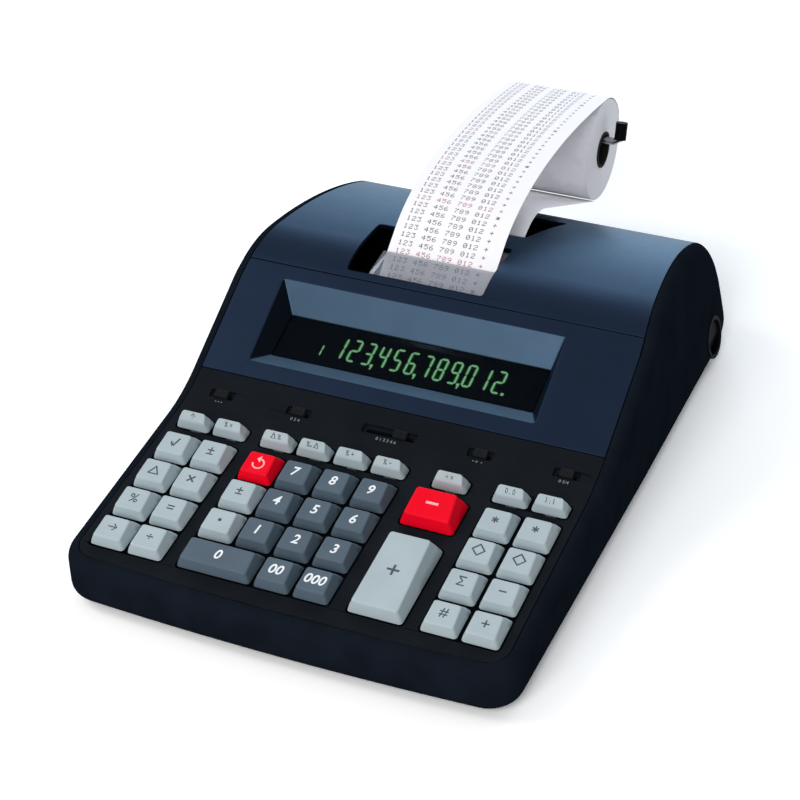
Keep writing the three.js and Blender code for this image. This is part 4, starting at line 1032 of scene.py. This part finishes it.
class Strip:
    """The sheet as a surface: place(s, x, lift) is a point at length s along it."""

    def __init__(self):
        self.line, self.start = paper_line()
        self.lengths = [0.0]
        for a, b in zip(self.line, self.line[1:]):
            self.lengths.append(self.lengths[-1] + math.dist(a, b))

    def place(self, s, x, lift):
        k = int(np.searchsorted(self.lengths, s, side="right")) - 1
        k = min(max(k, 0), len(self.line) - 2)
        share = (s - self.lengths[k]) / (self.lengths[k + 1] - self.lengths[k])
        (ay, az), (by, bz) = self.line[k], self.line[k + 1]
        rise = lift / math.hypot(by - ay, bz - az)
        y, z = ay + (by - ay) * share, az + (bz - az) * share
        return (PAPER_MIDDLE + x, y - (bz - az) * rise, z + (by - ay) * rise)


def make_strip(strip):
    rings = []
    line = strip.line
    columns = [PAPER_MIDDLE + x for x in steps_between(-PAPER_WIDTH / 2, PAPER_WIDTH / 2, 8)]
    for k, (y, z) in enumerate(line):
        before, after = line[max(k - 1, 0)], line[min(k + 1, len(line) - 1)]
        share = PAPER_THICKNESS / 2 / math.dist(before, after)
        dy, dz = (before[1] - after[1]) * share, (after[0] - before[0]) * share
        ring = [(x, y + dy, z + dz) for x in columns]
        ring += [(x, y - dy, z - dz) for x in reversed(columns)]
        rings.append(ring[::-1])
    add_piece("printed_strip", loft(rings), "case", ("paper_strip",), (PAPER,), 40)


# Five columns of seven dots, top row first, one figure of 5 bits for each row
DOT_FIGURES = {
    "0": (14, 17, 19, 21, 25, 17, 14),
    "1": (4, 12, 4, 4, 4, 4, 14),
    "2": (14, 17, 1, 6, 8, 16, 31),
    "3": (31, 2, 4, 2, 1, 17, 14),
    "4": (2, 6, 10, 18, 31, 2, 2),
    "5": (31, 16, 30, 1, 1, 17, 14),
    "6": (6, 8, 16, 30, 17, 17, 14),
    "7": (31, 1, 2, 4, 8, 8, 8),
    "8": (14, 17, 17, 14, 17, 17, 14),
    "9": (14, 17, 17, 15, 1, 2, 12),
    "+": (0, 4, 4, 31, 4, 4, 0),
    "*": (0, 21, 14, 31, 14, 21, 0),
    " ": (),
}
PRINT_ROW = "123 456 789 012 "
PRINT_HEIGHT = 2.7 * MM
PRINT_PITCH = 4.6 * MM
PRINT_START = -3.2 * MM  # from where the sheet leaves the platen
PRINT_END = 3 * MM
PRINT_LEFT = 4.2 * MM
PRINT_RIGHT = 6.5 * MM
PRINT_LIFT = 0.02 * MM
FIGURE_SHARE = 0.72  # of the room that a figure has in its row
DOT_HALF = 0.52  # of the distance between dots


def make_print(strip):
    """Rows of figures from a dot-matrix head, on the sheet's upper side."""
    first = strip.lengths[strip.start] + PRINT_START
    rows = int((strip.lengths[-1] - PRINT_END - first) / PRINT_PITCH)
    cell = (PAPER_WIDTH - PRINT_LEFT - PRINT_RIGHT) / (len(PRINT_ROW) + 1)
    step_x, step_s = cell * FIGURE_SHARE / 5, PRINT_HEIGHT / 7
    lift = PAPER_THICKNESS / 2 + PRINT_LIFT
    corners = [(dx * DOT_HALF, ds * DOT_HALF) for dx, ds in ((-1, -1), (1, -1), (1, 1), (-1, 1))]
    points, slots = [], []
    for row in range(rows):
        text = PRINT_ROW + ("+" if row % 9 else "*")
        for column, letter in enumerate(text):
            left = PRINT_LEFT - PAPER_WIDTH / 2 + column * cell
            for r, bits in enumerate(DOT_FIGURES[letter]):
                s = first + row * PRINT_PITCH + (7 - r) * step_s
                for c in range(5):
                    if not bits >> (4 - c) & 1:
                        continue
                    for dx, ds in corners:
                        points.append(strip.place(s + ds * step_s, left + (c + dx) * step_x, lift))
                    slots.append(1 if row % 7 == 3 else 0)
    faces = [tuple(range(n, n + 4)) for n in range(0, len(points), 4)]
    form = (points, faces, slots)
    add_piece("strip_print", form, "case", (), (PRINT_INK, RED_PRINT))


def make_roll():
    """The roll on its core; between the rim and the core its faces are a little hollow."""
    half = PAPER_WIDTH / 2
    edge, hollow = 0.25 * MM, 0.15 * MM
    right = [
        (half - edge, ROLL_RADIUS),
        (half, ROLL_RADIUS - edge),
        (half - hollow, (CORE_RADIUS + ROLL_RADIUS) / 2),
        (half, CORE_RADIUS),
        (half + CORE_STAND, CORE_RADIUS),
        (half + CORE_STAND, CORE_BORE),
    ]
    profile = [(-x, radius) for x, radius in reversed(right)] + right
    sides = 144
    along_x = Matrix(((0, 0, 1, PAPER_MIDDLE), (1, 0, 0, ROLL_Y), (0, 1, 0, ROLL_Z), (0, 0, 0, 1)))
    points, faces = revolved(profile, along_x, sides, True)
    slots = [slot for slot in (1, 1, 0, 0, 0, 0, 0, 0, 0, 1, 1, 1) for _ in range(sides)]
    form = (points, faces, slots)
    add_piece("till_roll", form, "paper_roll", ("paper_roll",), (ROLL, CARD), 30)


# Copies of the solids with even shading


SOLID_MERGE = 0.002 * MM
SOLID_FLAT = math.radians(0.6)
SOLID_SMOOTH = 34  # in degrees


def dressed(node, name, body, material):
    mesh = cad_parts[node].data.copy()
    mesh.materials.clear()
    with merged(mesh, SOLID_MERGE) as work:
        bmesh.ops.dissolve_limit(work, angle_limit=SOLID_FLAT, verts=work.verts, edges=work.edges)
    smooth(mesh, SOLID_SMOOTH)
    return make_piece(name, mesh, body, (node,), (material,))


WIRE_RADIUS = 2 * MM
WIRE_OVERHANG = 9.5 * MM  # past the roll's right face
CAP_RADIUS = 3.3 * MM
CAP_RISE = 1.5 * MM  # of the cap's foot, above the wire's level part
CAP_LEAN = math.radians(16)


def make_wire_holder():
    """The bent wire, with the black cap on its tip."""
    mesh = dressed("roll_holder", "wire_holder", "case", WIRE).data
    mesh.materials.append(CAP)
    tip_x = PAPER_MIDDLE + PAPER_WIDTH / 2 + WIRE_OVERHANG
    foot = Vector((tip_x, ROLL_Y, ROLL_Z + CORE_BORE - WIRE_RADIUS - GAP))
    upward = Vector((0, math.sin(CAP_LEAN), math.cos(CAP_LEAN)))
    for face in mesh.polygons:
        place = face.center - foot
        if place.x > -CAP_RADIUS - GAP and place.dot(upward) > CAP_RISE - GAP:
            face.material_index = 1


# Case


def case_loop(side, front, rear, height, square=0):
    """A loop round the case at some inset; height takes the distance from the front."""
    inner = CASE_WIDTH / 2 - PLAN_RADIUS
    points = []
    for x, y in Plan(side, front, rear).outline(square):
        z = height(y)
        lean = lean_share(y) * z
        size = abs(x) - lean if abs(x) > inner else abs(x) * (inner - lean) / inner
        points.append((math.copysign(size, x), y, z))
    return in_machine(points)


LEAST_TILT = 0.36


def tilt(y):
    return max(math.cos(LINE.slope(y)), LEAST_TILT)


def rim_drop(y):
    return min(RIM_DROP / tilt(y), (LINE.top(y) - LINE.low(y)) / 2)


def toe_rise(y):
    return min(TOE_RISE, (LINE.top(y) - LINE.low(y)) / 2)


def below_top(depth):
    return lambda y: LINE.top(y) - depth / tilt(y)


def case_loops():
    """From the underside round the bottom edge, up, over the rim, and down inside."""
    back = CASE_DEPTH - LINE.last
    loops = [case_loop(FLAT_INSET, FLAT_INSET, REAR_TOE_RUN, lambda y: FOOT_HEIGHT)]
    for turn in steps_between(QUARTER, 0, 10):
        inset, left = TOE_SETBACK * (1 - math.cos(turn)), 1 - math.sin(turn)
        height = lambda y: LINE.low(y) + toe_rise(y) * left
        loops.append(case_loop(inset, inset, back + inset, height))
    for share in steps_between(0, 1, 6)[1:-1]:
        toe = lambda y: (LINE.low(y) + toe_rise(y)) * (1 - share)
        height = lambda y: toe(y) + (LINE.top(y) - rim_drop(y)) * share
        loops.append(case_loop(0, 0, back, height))
    for turn in steps_between(0, QUARTER, 12):
        inset, left = RIM_RUN * (1 - math.cos(turn)), 1 - math.sin(turn)
        height = lambda y: LINE.top(y) - rim_drop(y) * left
        loops.append(case_loop(inset, inset, back + inset, height))
    rim, end = RIM_RUN + back, CASE_DEPTH - LINE.end[0] - GAP / 2
    for share in steps_between(0, 1, 6)[1:]:
        side = RIM_RUN + (SIDE_RIM - RIM_EDGE - RIM_RUN) * share
        front = RIM_RUN + (FRONT_RIM - RIM_RUN) * share / 2
        loops.append(case_loop(side, front, rim + (end - RIM_EDGE - rim) * share, LINE.top, share))
    rebate = COVER_THICKNESS + GAP
    wall = end + FRONT_WALL - FRONT_RIM
    for side, front, rear, depth in (
        (SIDE_RIM, FRONT_RIM, end, RIM_EDGE),
        (SIDE_RIM, FRONT_RIM, end, rebate),
        (SIDE_LEDGE, FRONT_WALL, wall, rebate),
        (SIDE_LEDGE, FRONT_WALL, wall, FLANGE),
        (SIDE_WALL, FRONT_WALL, wall, FLANGE),
    ):
        loops.append(case_loop(side, front, rear, below_top(depth), 1))
    loops.append(case_loop(SIDE_WALL, FRONT_WALL, REAR_TOE_RUN, lambda y: FLOOR, 1))
    return loops


SWITCH_RUN = 297 * MM
SWITCH_HEIGHT = 15.5 * MM
SWITCH_BORE = 9.2 * MM
BEZEL_RADIUS = 11.4 * MM
BEZEL_STAND = 0.9 * MM
BEZEL_SOFT = 0.35 * MM
DRUM_DEPTH = 10 * MM
DRUM_WALL = 2.4 * MM


def make_case():
    form = loft(case_loops())
    piece = add_piece("lower_case", form, "case", ("base_shell",), (CASING,), merge=True)
    x = Plan().half_width(SWITCH_RUN, SWITCH_HEIGHT)
    place = Matrix.Translation((x, SWITCH_RUN + NOSE_Y, SWITCH_HEIGHT))
    place @= Matrix.Rotation(QUARTER - math.atan(lean_share(SWITCH_RUN)), 4, "Y")
    low, bore, soft = -SIDE_WALL - DRUM_DEPTH, SWITCH_BORE, BEZEL_SOFT
    floor = low + DRUM_WALL
    hole = [(floor, 0), (floor, bore), (REACH, bore), (REACH, 0)]
    boolean(piece, revolved(hole, place), solver="EXACT")
    even_shading(piece, 30)

    outer, half_wall = bore + DRUM_WALL, -SIDE_WALL / 2
    drum = [(low, 0), (low, outer), (half_wall, outer)]
    drum += [(half_wall, bore), (floor, bore), (floor, 0)]
    bezel = [
        (half_wall, bore),
        (half_wall, BEZEL_RADIUS),
        (BEZEL_STAND - soft, BEZEL_RADIUS),
        (BEZEL_STAND, BEZEL_RADIUS - soft),
        (BEZEL_STAND, bore + soft),
        (BEZEL_STAND - soft, bore),
        (half_wall, bore),
    ]
    form = joined([revolved(drum, place), revolved(bezel, place)])
    add_piece("switch_bezel", form, "case", ("base_shell",), (ROCKER,), 30, True)


def make_feet():
    x, soft = CASE_WIDTH / 2 - FOOT_INSET, FOOT_EDGE
    top = (FLOOR + FOOT_HEIGHT) / 2
    profile = [(0, 0), (0, FOOT_RADIUS - soft), (soft, FOOT_RADIUS), (top, FOOT_RADIUS), (top, 0)]
    parts = []
    for y in (FOOT_INSET, CASE_DEPTH - REAR_TOE_RUN - FOOT_INSET):
        for side in (-x, x):
            parts.append(revolved(profile, Matrix.Translation((side, y + NOSE_Y, 0))))
    form = joined(parts)
    add_piece("rubber_feet", form, "case", ("base_shell",), (RUBBER,), 40, True)


BLOCK_LOW = 9 * MM
BLOCK_HIGH = 32 * MM
BLOCK_REAR = 331 * MM
BLOCK_EDGE = 0.6 * MM
HOLE_OVERRUN = 5 * MM
# Middle and width of each block; middle height, half sizes, rounding and depth of its hole
REAR_BLOCKS = {
    "wire_socket": (-46 * MM, 15 * MM, 24 * MM, 2.3 * MM, 2.3 * MM, 0.95, 14 * MM + GAP),
    "mains_inlet": (66 * MM, 24 * MM, (BLOCK_LOW + BLOCK_HIGH) / 2, 8 * MM, 5 * MM, 0.35, 9 * MM),
}


def make_rear_blocks():
    """The socket of the wire holder and the mains inlet, low in the rear wall."""
    rear = BLOCK_REAR + NOSE_Y
    past = rear + HOLE_OVERRUN
    for name, (x, width, z, half_x, half_z, rounding, depth) in REAR_BLOCKS.items():
        low = (x - width / 2, CASE_DEPTH - REAR_TOE_RUN + NOSE_Y, BLOCK_LOW)
        form = box_form(low, (x + width / 2, rear, BLOCK_HIGH))
        piece = add_piece(name, form, "case", ("base_shell",), (CASING,), merge=True)
        outline = rounded_rectangle(half_x, half_z, min(half_x, half_z) * rounding, 5)
        rings = [[(x + a, y, z + b) for a, b in outline] for y in (rear - depth, past)]
        boolean(piece, loft(rings))
        round_edges(piece, BLOCK_EDGE, 3, 40)
        smooth(piece.data, 40)


# Panel and covers


def plate_ring(station, layers, shift):
    """A section of a plate across the top line; the layers hold (depth, plan)."""
    angle = station[2]
    y, z = on_circle(station, shift, angle)
    half = []
    for depth, plan in layers:
        py, pz = y + depth * math.sin(angle), z - depth * math.cos(angle)
        width = plan.half_width(py, pz)
        if not half:
            half += [(width * k / 6, py, pz) for k in range(6)]
        half.append((width, py, pz))
    half.append((0, py, pz))
    return in_machine(half + [(-x, y, z) for x, y, z in reversed(half[1:-1])])


def plate(name, stations, layers, node, material, start):
    """A plate along part of the top line, its first end moved along the line."""
    shifts = [start] + [0] * (len(stations) - 2) + [-GAP / 2]
    form = loft([plate_ring(station, layers, shift) for station, shift in zip(stations, shifts)])
    return add_piece(name, form, "case", (node,), (material,), merge=True)


def hood(name, stations, node):
    plan = Plan(SIDE_RIM + GAP, FRONT_RIM + GAP)
    layers = [(0, plan), (COVER_THICKNESS, plan)]
    return plate(name, stations, layers, node, COVER, GAP / 2)


WELLS = (
    "advance divide percent equals difference multiply check rate",
    "0 00 000 point 1 2 3 sign 4 5 6 clear 7 8 9",
    "plus",
    "minus",
    "count memory_plus grand_total memory_minus subtotal memory_subtotal total memory_total",
)
WELLS = [["key_" + name for name in names.split()] for names in WELLS]
WELLS += [["function_key_%d" % k for k in group] for group in ((1, 2), (3, 4, 5, 6), (7,), (8, 9))]
SLOT_WIDTHS = [12.8 * MM, 12.8 * MM, 27.6 * MM, 12.8 * MM, 12.8 * MM]
SLOT_LENGTH = 4.9 * MM
SLOT_DEPTH = 1.8 * MM
SLIT_HALF = 1.1 * MM
SLIT_INSET = 1.9 * MM
SLOT_CORNER, SLIT_CORNER, GUIDE_CORNER = 0.7 * MM, 0.2 * MM, 0.3 * MM
PANEL_EDGE = 0.3 * MM
COVER_EDGE = 0.45 * MM


def make_panel():
    """The panel with a well for each group of keys, the slots, and the stems' guides."""
    plan, deck = (Plan(side + GAP, FRONT_RIM + GAP) for side in (SIDE_RIM, SIDE_LEDGE))
    knee_y = LINE.panel[1][0]
    places = [y for y in plan.front_places() if y < knee_y]
    places += steps_between(places[-1], knee_y, 16)[1:-1]
    slope = math.tan(PANEL_ANGLE)
    stations = [(y, PANEL_HEIGHT + (y - KEY_FRONT) * slope, PANEL_ANGLE) for y in places]
    stations += LINE.panel[1:]
    layers = [(0, plan), (PANEL_THICKNESS, plan), (PANEL_THICKNESS, deck), (DECK_DEPTH, deck)]
    piece = plate("key_panel", stations, layers, "keyboard_panel", PANEL, 0)
    for group in WELLS:
        extents = zip(*(key_extent(name) for name in group))
        bounds = [end(values) for end, values in zip((min, max, min, max), extents)]
        outline = rounded_box(widened(bounds, WELL_MARGIN), WELL_CORNER, 4)
        boolean(piece, prism(outline, -WELL_DEPTH, REACH, KEY_FRAME))
    for x, width in zip(SLIDE_MIDDLES, SLOT_WIDTHS):
        slot = rounded_rectangle(width / 2, SLOT_LENGTH / 2, SLOT_CORNER, 3)
        boolean(piece, prism(moved(slot, x, 0), -SLOT_DEPTH, REACH, SLIDE_FRAME))
        slit = rounded_rectangle(width / 2 - SLIT_INSET, SLIT_HALF, SLIT_CORNER, 1)
        boolean(piece, prism(moved(slit, x, 0), -REACH, 0, SLIDE_FRAME))
    for name in SIGNS:
        left, right, low, high = key_extent(name)
        stem = key_sizes(name)[4]
        guide = rounded_rectangle(STEM_WIDTH / 2 + GAP, stem / 2 + GAP, GUIDE_CORNER, 1)
        outline = moved(guide, (left + right) / 2, (low + high) / 2)
        boolean(piece, prism(outline, -DECK_DEPTH - REACH, 0, KEY_FRAME))
    round_edges(piece, PANEL_EDGE, 2, 50)
    even_shading(piece, 24)


DISPLAY_FRAME = frame_at(LINE.display[0])
# Left, right, front and rear of the recess in the cover, and of the opening for the window
RECESS = (-81.5 * MM, 66.8 * MM, 8.8 * MM, 56.3 * MM)
OPENING = (-73.2 * MM, 62.8 * MM, 15.8 * MM, 41.4 * MM)
WINDOW_RUNS = (12.6 * MM, 41 * MM)  # the front and rear edge of the window's plane
WINDOW_DEPTHS = (3 * MM, 8 * MM)  # of those edges
WINDOW_FALL = (WINDOW_DEPTHS[1] - WINDOW_DEPTHS[0]) / (WINDOW_RUNS[1] - WINDOW_RUNS[0])
PANE_THICKNESS = 1.4 * MM
PANE_EDGE = 0.25 * MM
RECESS_EDGE = 0.1 * MM
WALL_TURN = 0.3  # how far a wall's face turns away from the cover's
TRAY_WALL = 2 * MM
TRAY_FLOOR = 1.4 * MM
TRAY_CORNER, RECESS_CORNER, OPENING_CORNER, PANE_CORNER = 2 * MM, 1.2 * MM, 0.6 * MM, 0.4 * MM


def window_height(y):
    """The depth of the window's plane at a distance up the slope."""
    return -WINDOW_DEPTHS[0] - (y - WINDOW_RUNS[0]) * WINDOW_FALL


def level(z):
    return lambda y: z


def below_window(depth):
    return lambda y: window_height(y) - depth


def recess_form(*rings):
    """A form through rounded rectangles; each ring gives its bounds, rounding and height."""
    shapes = []
    for bounds, radius, height in rings:
        shapes.append([(x, y, height(y)) for x, y in rounded_box(bounds, radius, 5)])
    return set_in(DISPLAY_FRAME, loft(shapes))


def paint_recess_light_and_shade(mesh):
    """Painted light and shade: the recess's front and rear walls get a paler lacquer, as lit, and
    its left wall a darker one, as shaded.
    """
    painted_light_slot = len(mesh.materials)
    mesh.materials.append(RECESS_PAINTED_LIGHT)
    mesh.materials.append(RECESS_PAINTED_SHADE)
    inward = DISPLAY_FRAME.inverted()
    turn = inward.to_3x3()
    left, right, front, rear = RECESS
    for face in mesh.polygons:
        x, y, z = inward @ face.center
        if not (left < x < right and front < y < rear and z < -RECESS_EDGE):
            continue
        facing = turn @ face.normal
        if abs(facing.y) > max(abs(facing.x), WALL_TURN):
            face.material_index = painted_light_slot
        elif facing.x > WALL_TURN:
            face.material_index = painted_light_slot + 1


def make_display_cover():
    piece = hood("display_hood", LINE.display, "display_cover")
    tray = (widened(RECESS, TRAY_WALL), TRAY_CORNER)
    form = recess_form((*tray, below_window(TRAY_FLOOR)), (*tray, level(-COVER_THICKNESS / 2)))
    boolean(piece, form, operation="UNION")
    opening, recess = (OPENING, OPENING_CORNER), (RECESS, RECESS_CORNER)
    low, high = (*opening, below_window(REACH)), (*opening, below_window(0))
    boolean(piece, recess_form(low, high, (*recess, level(0)), (*recess, level(REACH))))
    round_edges(piece, COVER_EDGE, 3, 20)
    even_shading(piece, 24)
    paint_recess_light_and_shade(piece.data)


def make_window():
    """The smoked pane, a little smaller than its opening, with softened edges."""
    bounds, radius = widened(OPENING, -GAP), PANE_CORNER
    form = recess_form(
        (bounds, radius, below_window(PANE_THICKNESS)),
        (bounds, radius, below_window(PANE_EDGE)),
        (widened(bounds, -PANE_EDGE), radius, below_window(0)),
    )
    add_piece("window_pane", form, "case", ("display_window",), (WINDOW,), 20)


SLOT_FRONT = 191 * MM
SLOT_REAR = 232 * MM
SLOT_LEFT = 41.5 * MM
SLOT_RIGHT = 30.5 * MM
INLET_FRONT = 249 * MM
INLET_REAR = 286 * MM
INLET_HALVES = (31 * MM, 40 * MM)
PAPER_SLOT_CORNER = 2.2 * MM
CUT_TOP = 120 * MM  # above the covers
TEAR_RUN = 20.5 * MM
TEAR_RISE = 3.1 * MM
TEAR_THICKNESS = 1.6 * MM
TEAR_SINK = 2.4 * MM
TEAR_DROP = 1.2 * MM
TEAR_OVERHANG = 1 * MM
TEAR_TEETH = 60
TOOTH_DEPTH = 0.7 * MM


def rounded_polygon(corners, radius, steps=5):
    """The outline of a polygon, counterclockwise, with its corners rounded."""
    points = []
    for k, corner in enumerate(corners):
        ends = []
        for other in (corners[k - 1], corners[(k + 1) % len(corners)]):
            along = (Vector(other) - Vector(corner)).normalized()
            ends.append(tuple(Vector(corner) + along * radius))
        points += curve((ends[0], corner, ends[1]), steps)
    return points


def make_printer_cover():
    """The cover with the paper slot and, behind it, the inlet that widens to the back."""
    piece = hood("printer_hood", LINE.printer, "printer_cover")
    place = Matrix.Translation((PAPER_MIDDLE, NOSE_Y, 0))
    rear, front = (SLOT_RIGHT, -SLOT_LEFT), (-SLOT_LEFT, SLOT_RIGHT)
    slot = [(x, SLOT_REAR) for x in rear] + [(x, SLOT_FRONT) for x in front]
    narrow, wide = INLET_HALVES
    inlet = [(wide, INLET_REAR), (-wide, INLET_REAR), (-narrow, INLET_FRONT), (narrow, INLET_FRONT)]
    for corners in (slot, inlet):
        outline = rounded_polygon(corners, PAPER_SLOT_CORNER)
        boolean(piece, prism(outline, 0, CUT_TOP, place))
    round_edges(piece, COVER_EDGE, 3, 40)
    even_shading(piece, 24)


def make_tear_plate():
    """A clear plate with a toothed edge, let into the front of the paper slot."""
    turn = math.asin((LINE.brow[0] - SLOT_FRONT) / BROW_RADIUS)
    y, z, _ = dome_station(LINE.brow, BROW_RADIUS, turn)
    place = side_frame(y + NOSE_Y, z - TEAR_DROP, math.atan2(TEAR_RISE, TEAR_RUN))
    half, length = PAPER_WIDTH / 2 + TEAR_OVERHANG, math.hypot(TEAR_RUN, TEAR_RISE)
    outline = [(half, -TEAR_SINK)]
    for k in range(2 * TEAR_TEETH + 1):
        outline.append((half - k * half / TEAR_TEETH, length - (TOOTH_DEPTH if k % 2 else 0)))
    outline = moved(outline + [(-half, -TEAR_SINK)], PAPER_MIDDLE, 0)
    form = prism(outline, -TEAR_THICKNESS, 0, place)
    add_piece("tear_plate", form, "case", ("printer_cover",), (TEAR,), 20, True)


# Display figures

DISPLAY_TEXT = "123,456,789,012."
SEGMENTS = {
    "0": "abcdef",
    "1": "bc",
    "2": "abged",
    "3": "abgcd",
    "4": "fgbc",
    "5": "afgcd",
    "6": "afgcde",
    "7": "abc",
    "8": "abcdefg",
    "9": "abcdfg",
}
# Ends of each bar of a figure, in half pitches and half heights
SEGMENT_ENDS = {
    "a": (0, 2, 1, 2),
    "b": (1, 2, 1, 1),
    "c": (1, 1, 1, 0),
    "d": (0, 0, 1, 0),
    "e": (0, 1, 0, 0),
    "f": (0, 2, 0, 1),
    "g": (0, 1, 1, 1),
}
FIGURE_LEFT = -45.6 * MM
FIGURE_BOTTOM = 13.1 * MM
FIGURE_PITCH = 7.55 * MM
FIGURE_SIZE = 12.7 * MM
FIGURE_SLANT = 0.02
FIGURE_DEPTH = -5.05 * MM  # under the window's plane
FIGURE_THICKNESS = 0.1 * MM
BAR_HALF, HALO_HALF, SMALL_HALF = 0.042, 0.1, 0.06  # of a figure's height
HALO_DROP = 0.12 * MM
DOT_SIZE = 0.75 * MM
DOT_PLACE = 0.24  # of the pitch, to the left of the next figure
DOT_SHAPE = ((-1, -1), (1, -1), (1, 1), (-1, 1))
TAIL_SHAPE = ((-0.4, -3.2), (0.5, -3.2), (1, -1), (-0.2, -1))  # of a comma
SMALL_PLACE = (-54 * MM, 12.6 * MM)
SMALL_SIZE = 6.4 * MM


def segment(cell, height, name, thick):
    """One bar of a figure, as a flat hexagon."""
    t = height * thick
    ax, ay, bx, by = (n * size for n, size in zip(SEGMENT_ENDS[name], (cell / 2, height / 2) * 2))
    length = math.hypot(bx - ax, by - ay)
    ux, uy = (bx - ax) / length * t, (by - ay) / length * t
    ax, ay, bx, by = ax + ux * 0.2, ay + uy * 0.2, bx - ux * 0.2, by - uy * 0.2
    return [
        (ax, ay),
        (ax + ux - uy, ay + uy + ux),
        (bx - ux - uy, by - uy + ux),
        (bx, by),
        (bx - ux + uy, by - uy - ux),
        (ax + ux + uy, ay + uy - ux),
    ]


def flat_form(outline, x, y, drop=0.0, slot=0):
    """A flat outline with a little thickness, leaning to the right."""
    z = FIGURE_DEPTH - drop
    shape = [(x + px + py * FIGURE_SLANT, y + py) for px, py in outline]
    if sum(a[0] * b[1] - b[0] * a[1] for a, b in zip(shape, shape[1:] + shape[:1])) < 0:
        shape.reverse()
    return (*loft([[(px, py, z + dz) for px, py in shape] for dz in (0, FIGURE_THICKNESS)]), slot)


def make_display_figures():
    parts = []
    column = 0
    for letter in DISPLAY_TEXT:
        x = FIGURE_LEFT + column * FIGURE_PITCH
        if letter in SEGMENTS:
            for name in SEGMENTS[letter]:
                for half, *depth in ((BAR_HALF,), (HALO_HALF, HALO_DROP, 1)):
                    outline = segment(FIGURE_PITCH, FIGURE_SIZE, name, half)
                    parts.append(flat_form(outline, x, FIGURE_BOTTOM, *depth))
            column += 1
            continue
        x -= FIGURE_PITCH * DOT_PLACE
        for shape in (DOT_SHAPE, TAIL_SHAPE) if letter == "," else (DOT_SHAPE,):
            outline = [(px * DOT_SIZE, py * DOT_SIZE) for px, py in shape]
            parts.append(flat_form(outline, x, FIGURE_BOTTOM))
    for name in SEGMENTS["1"]:
        outline = segment(SMALL_SIZE / 2, SMALL_SIZE, name, SMALL_HALF)
        parts.append(flat_form(outline, *SMALL_PLACE))
    place = side_frame(WINDOW_RUNS[0], -WINDOW_DEPTHS[0], -math.atan(WINDOW_FALL))
    form = set_in(DISPLAY_FRAME @ place, joined(parts))
    add_piece("display_figures", form, "case", (), (GLOW, HALO))


# The camera, the lamps and the floor

CAMERA_AZIMUTH = math.radians(24.604)
CAMERA_ELEVATION = math.radians(34.215)
CAMERA_ROLL = math.radians(-1.777)
CAMERA_PLACE = (0.345392, NOSE_Y - 0.618364, 0.615375)
CAMERA_FOCUS = 2123.711  # in pixels of the 800-pixel frame
FRAME_PIXELS = 800
SENSOR_WIDTH = 36  # in millimetres
WORLD_LIGHT = 0.38  # of the white that background rays see
FLOOR_WHITE = 1.22
FLOOR_HALF = 6
FLOOR_DROP = 0.0002
COOL = (0.78, 0.89, 1)


def make_camera():
    az, el = CAMERA_AZIMUTH, CAMERA_ELEVATION
    right = Vector((math.cos(az), math.sin(az), 0))
    back = Vector((math.sin(az) * math.cos(el), -math.cos(az) * math.cos(el), math.sin(el)))
    up = back.cross(right)
    turned_right = right * math.cos(CAMERA_ROLL) + up * math.sin(CAMERA_ROLL)
    turned_up = up * math.cos(CAMERA_ROLL) - right * math.sin(CAMERA_ROLL)
    data = bpy.data.cameras.new("camera")
    data.sensor_width = SENSOR_WIDTH
    data.lens = CAMERA_FOCUS / FRAME_PIXELS * SENSOR_WIDTH
    axes = Matrix((turned_right, turned_up, back)).transposed().to_4x4()
    camera = new_object("camera", data)
    camera.matrix_world = Matrix.Translation(CAMERA_PLACE) @ axes
    bpy.context.scene.camera = camera


def make_lamp(name, place, target, size, power, colour=(1, 1, 1)):
    data = bpy.data.lights.new(name, "AREA")
    data.shape = "DISK"
    data.size = size
    data.energy = power
    data.color = colour
    lamp = new_object(name, data)
    lamp.location = place
    lamp.rotation_euler = (Vector(target) - Vector(place)).to_track_quat("-Z", "Y").to_euler()


def make_world():
    world = Shader(bpy.data.worlds.new("studio"))
    bpy.context.scene.world = world.owner
    inputs = {"Value": world.background_rays(), "To Min": WORLD_LIGHT, "To Max": 1.0}
    strength = world.node("MapRange", inputs).outputs["Result"]
    world.put("Background", Color=grey(1), Strength=strength)


def make_floor():
    shader = new_shader("floor")
    tone = shader.ramp(shader.noise(3, 2), (0.3, grey(0.78)), (0.7, grey(0.8)))
    colour = shader.mix(shader.background_rays(), tone, grey(FLOOR_WHITE))
    size = FLOOR_HALF
    points = [(-size, -size, 0), (size, -size, 0), (size, size, 0), (-size, size, 0)]
    mesh = make_mesh("floor", points, [(0, 1, 2, 3)])
    mesh.materials.append(shader.put(Base_Color=colour, Roughness=0.9, Specular_IOR_Level=0))
    floor = new_object("floor", mesh)
    floor.location.z = -FLOOR_DROP


def dress_node(name, material):
    """The material of a solid that stays as it is."""
    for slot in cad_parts[name].material_slots:
        slot.material = material


make_camera()
make_world()
make_lamp("front_lamp", (0.1, -1.42, 0.94), (0, 0, 0.05), size=1.0, power=16)
make_lamp("left_lamp", (-1.2, -0.4, 1.3), (0, 0, 0.05), size=0.9, power=8)
make_lamp("back_lamp", (0, 1.7, 0.8), (0, 0, 0.08), size=2.2, power=27, colour=COOL)
make_floor()
dress_node("display_tube", LAMP)
dress_node("circuit_board", BOARD)
dress_node("printer_frame", STEEL)

make_case()
make_feet()
make_rear_blocks()
make_panel()
make_display_cover()
make_window()
make_printer_cover()
make_tear_plate()
dressed("platen_roller", "platen", "platen_roller", RUBBER)
make_wire_holder()
dressed("power_rocker", "mains_rocker", "power_rocker", ROCKER)

for key_name in SIGNS:
    make_key(key_name)
for number in range(1, 6):
    make_slide("slide_switch_%d" % number)
make_slide_marks()

sheet = Strip()
make_strip(sheet)
make_print(sheet)
make_roll()
make_display_figures()

scene = bpy.context.scene
scene.view_settings.view_transform = "Standard"
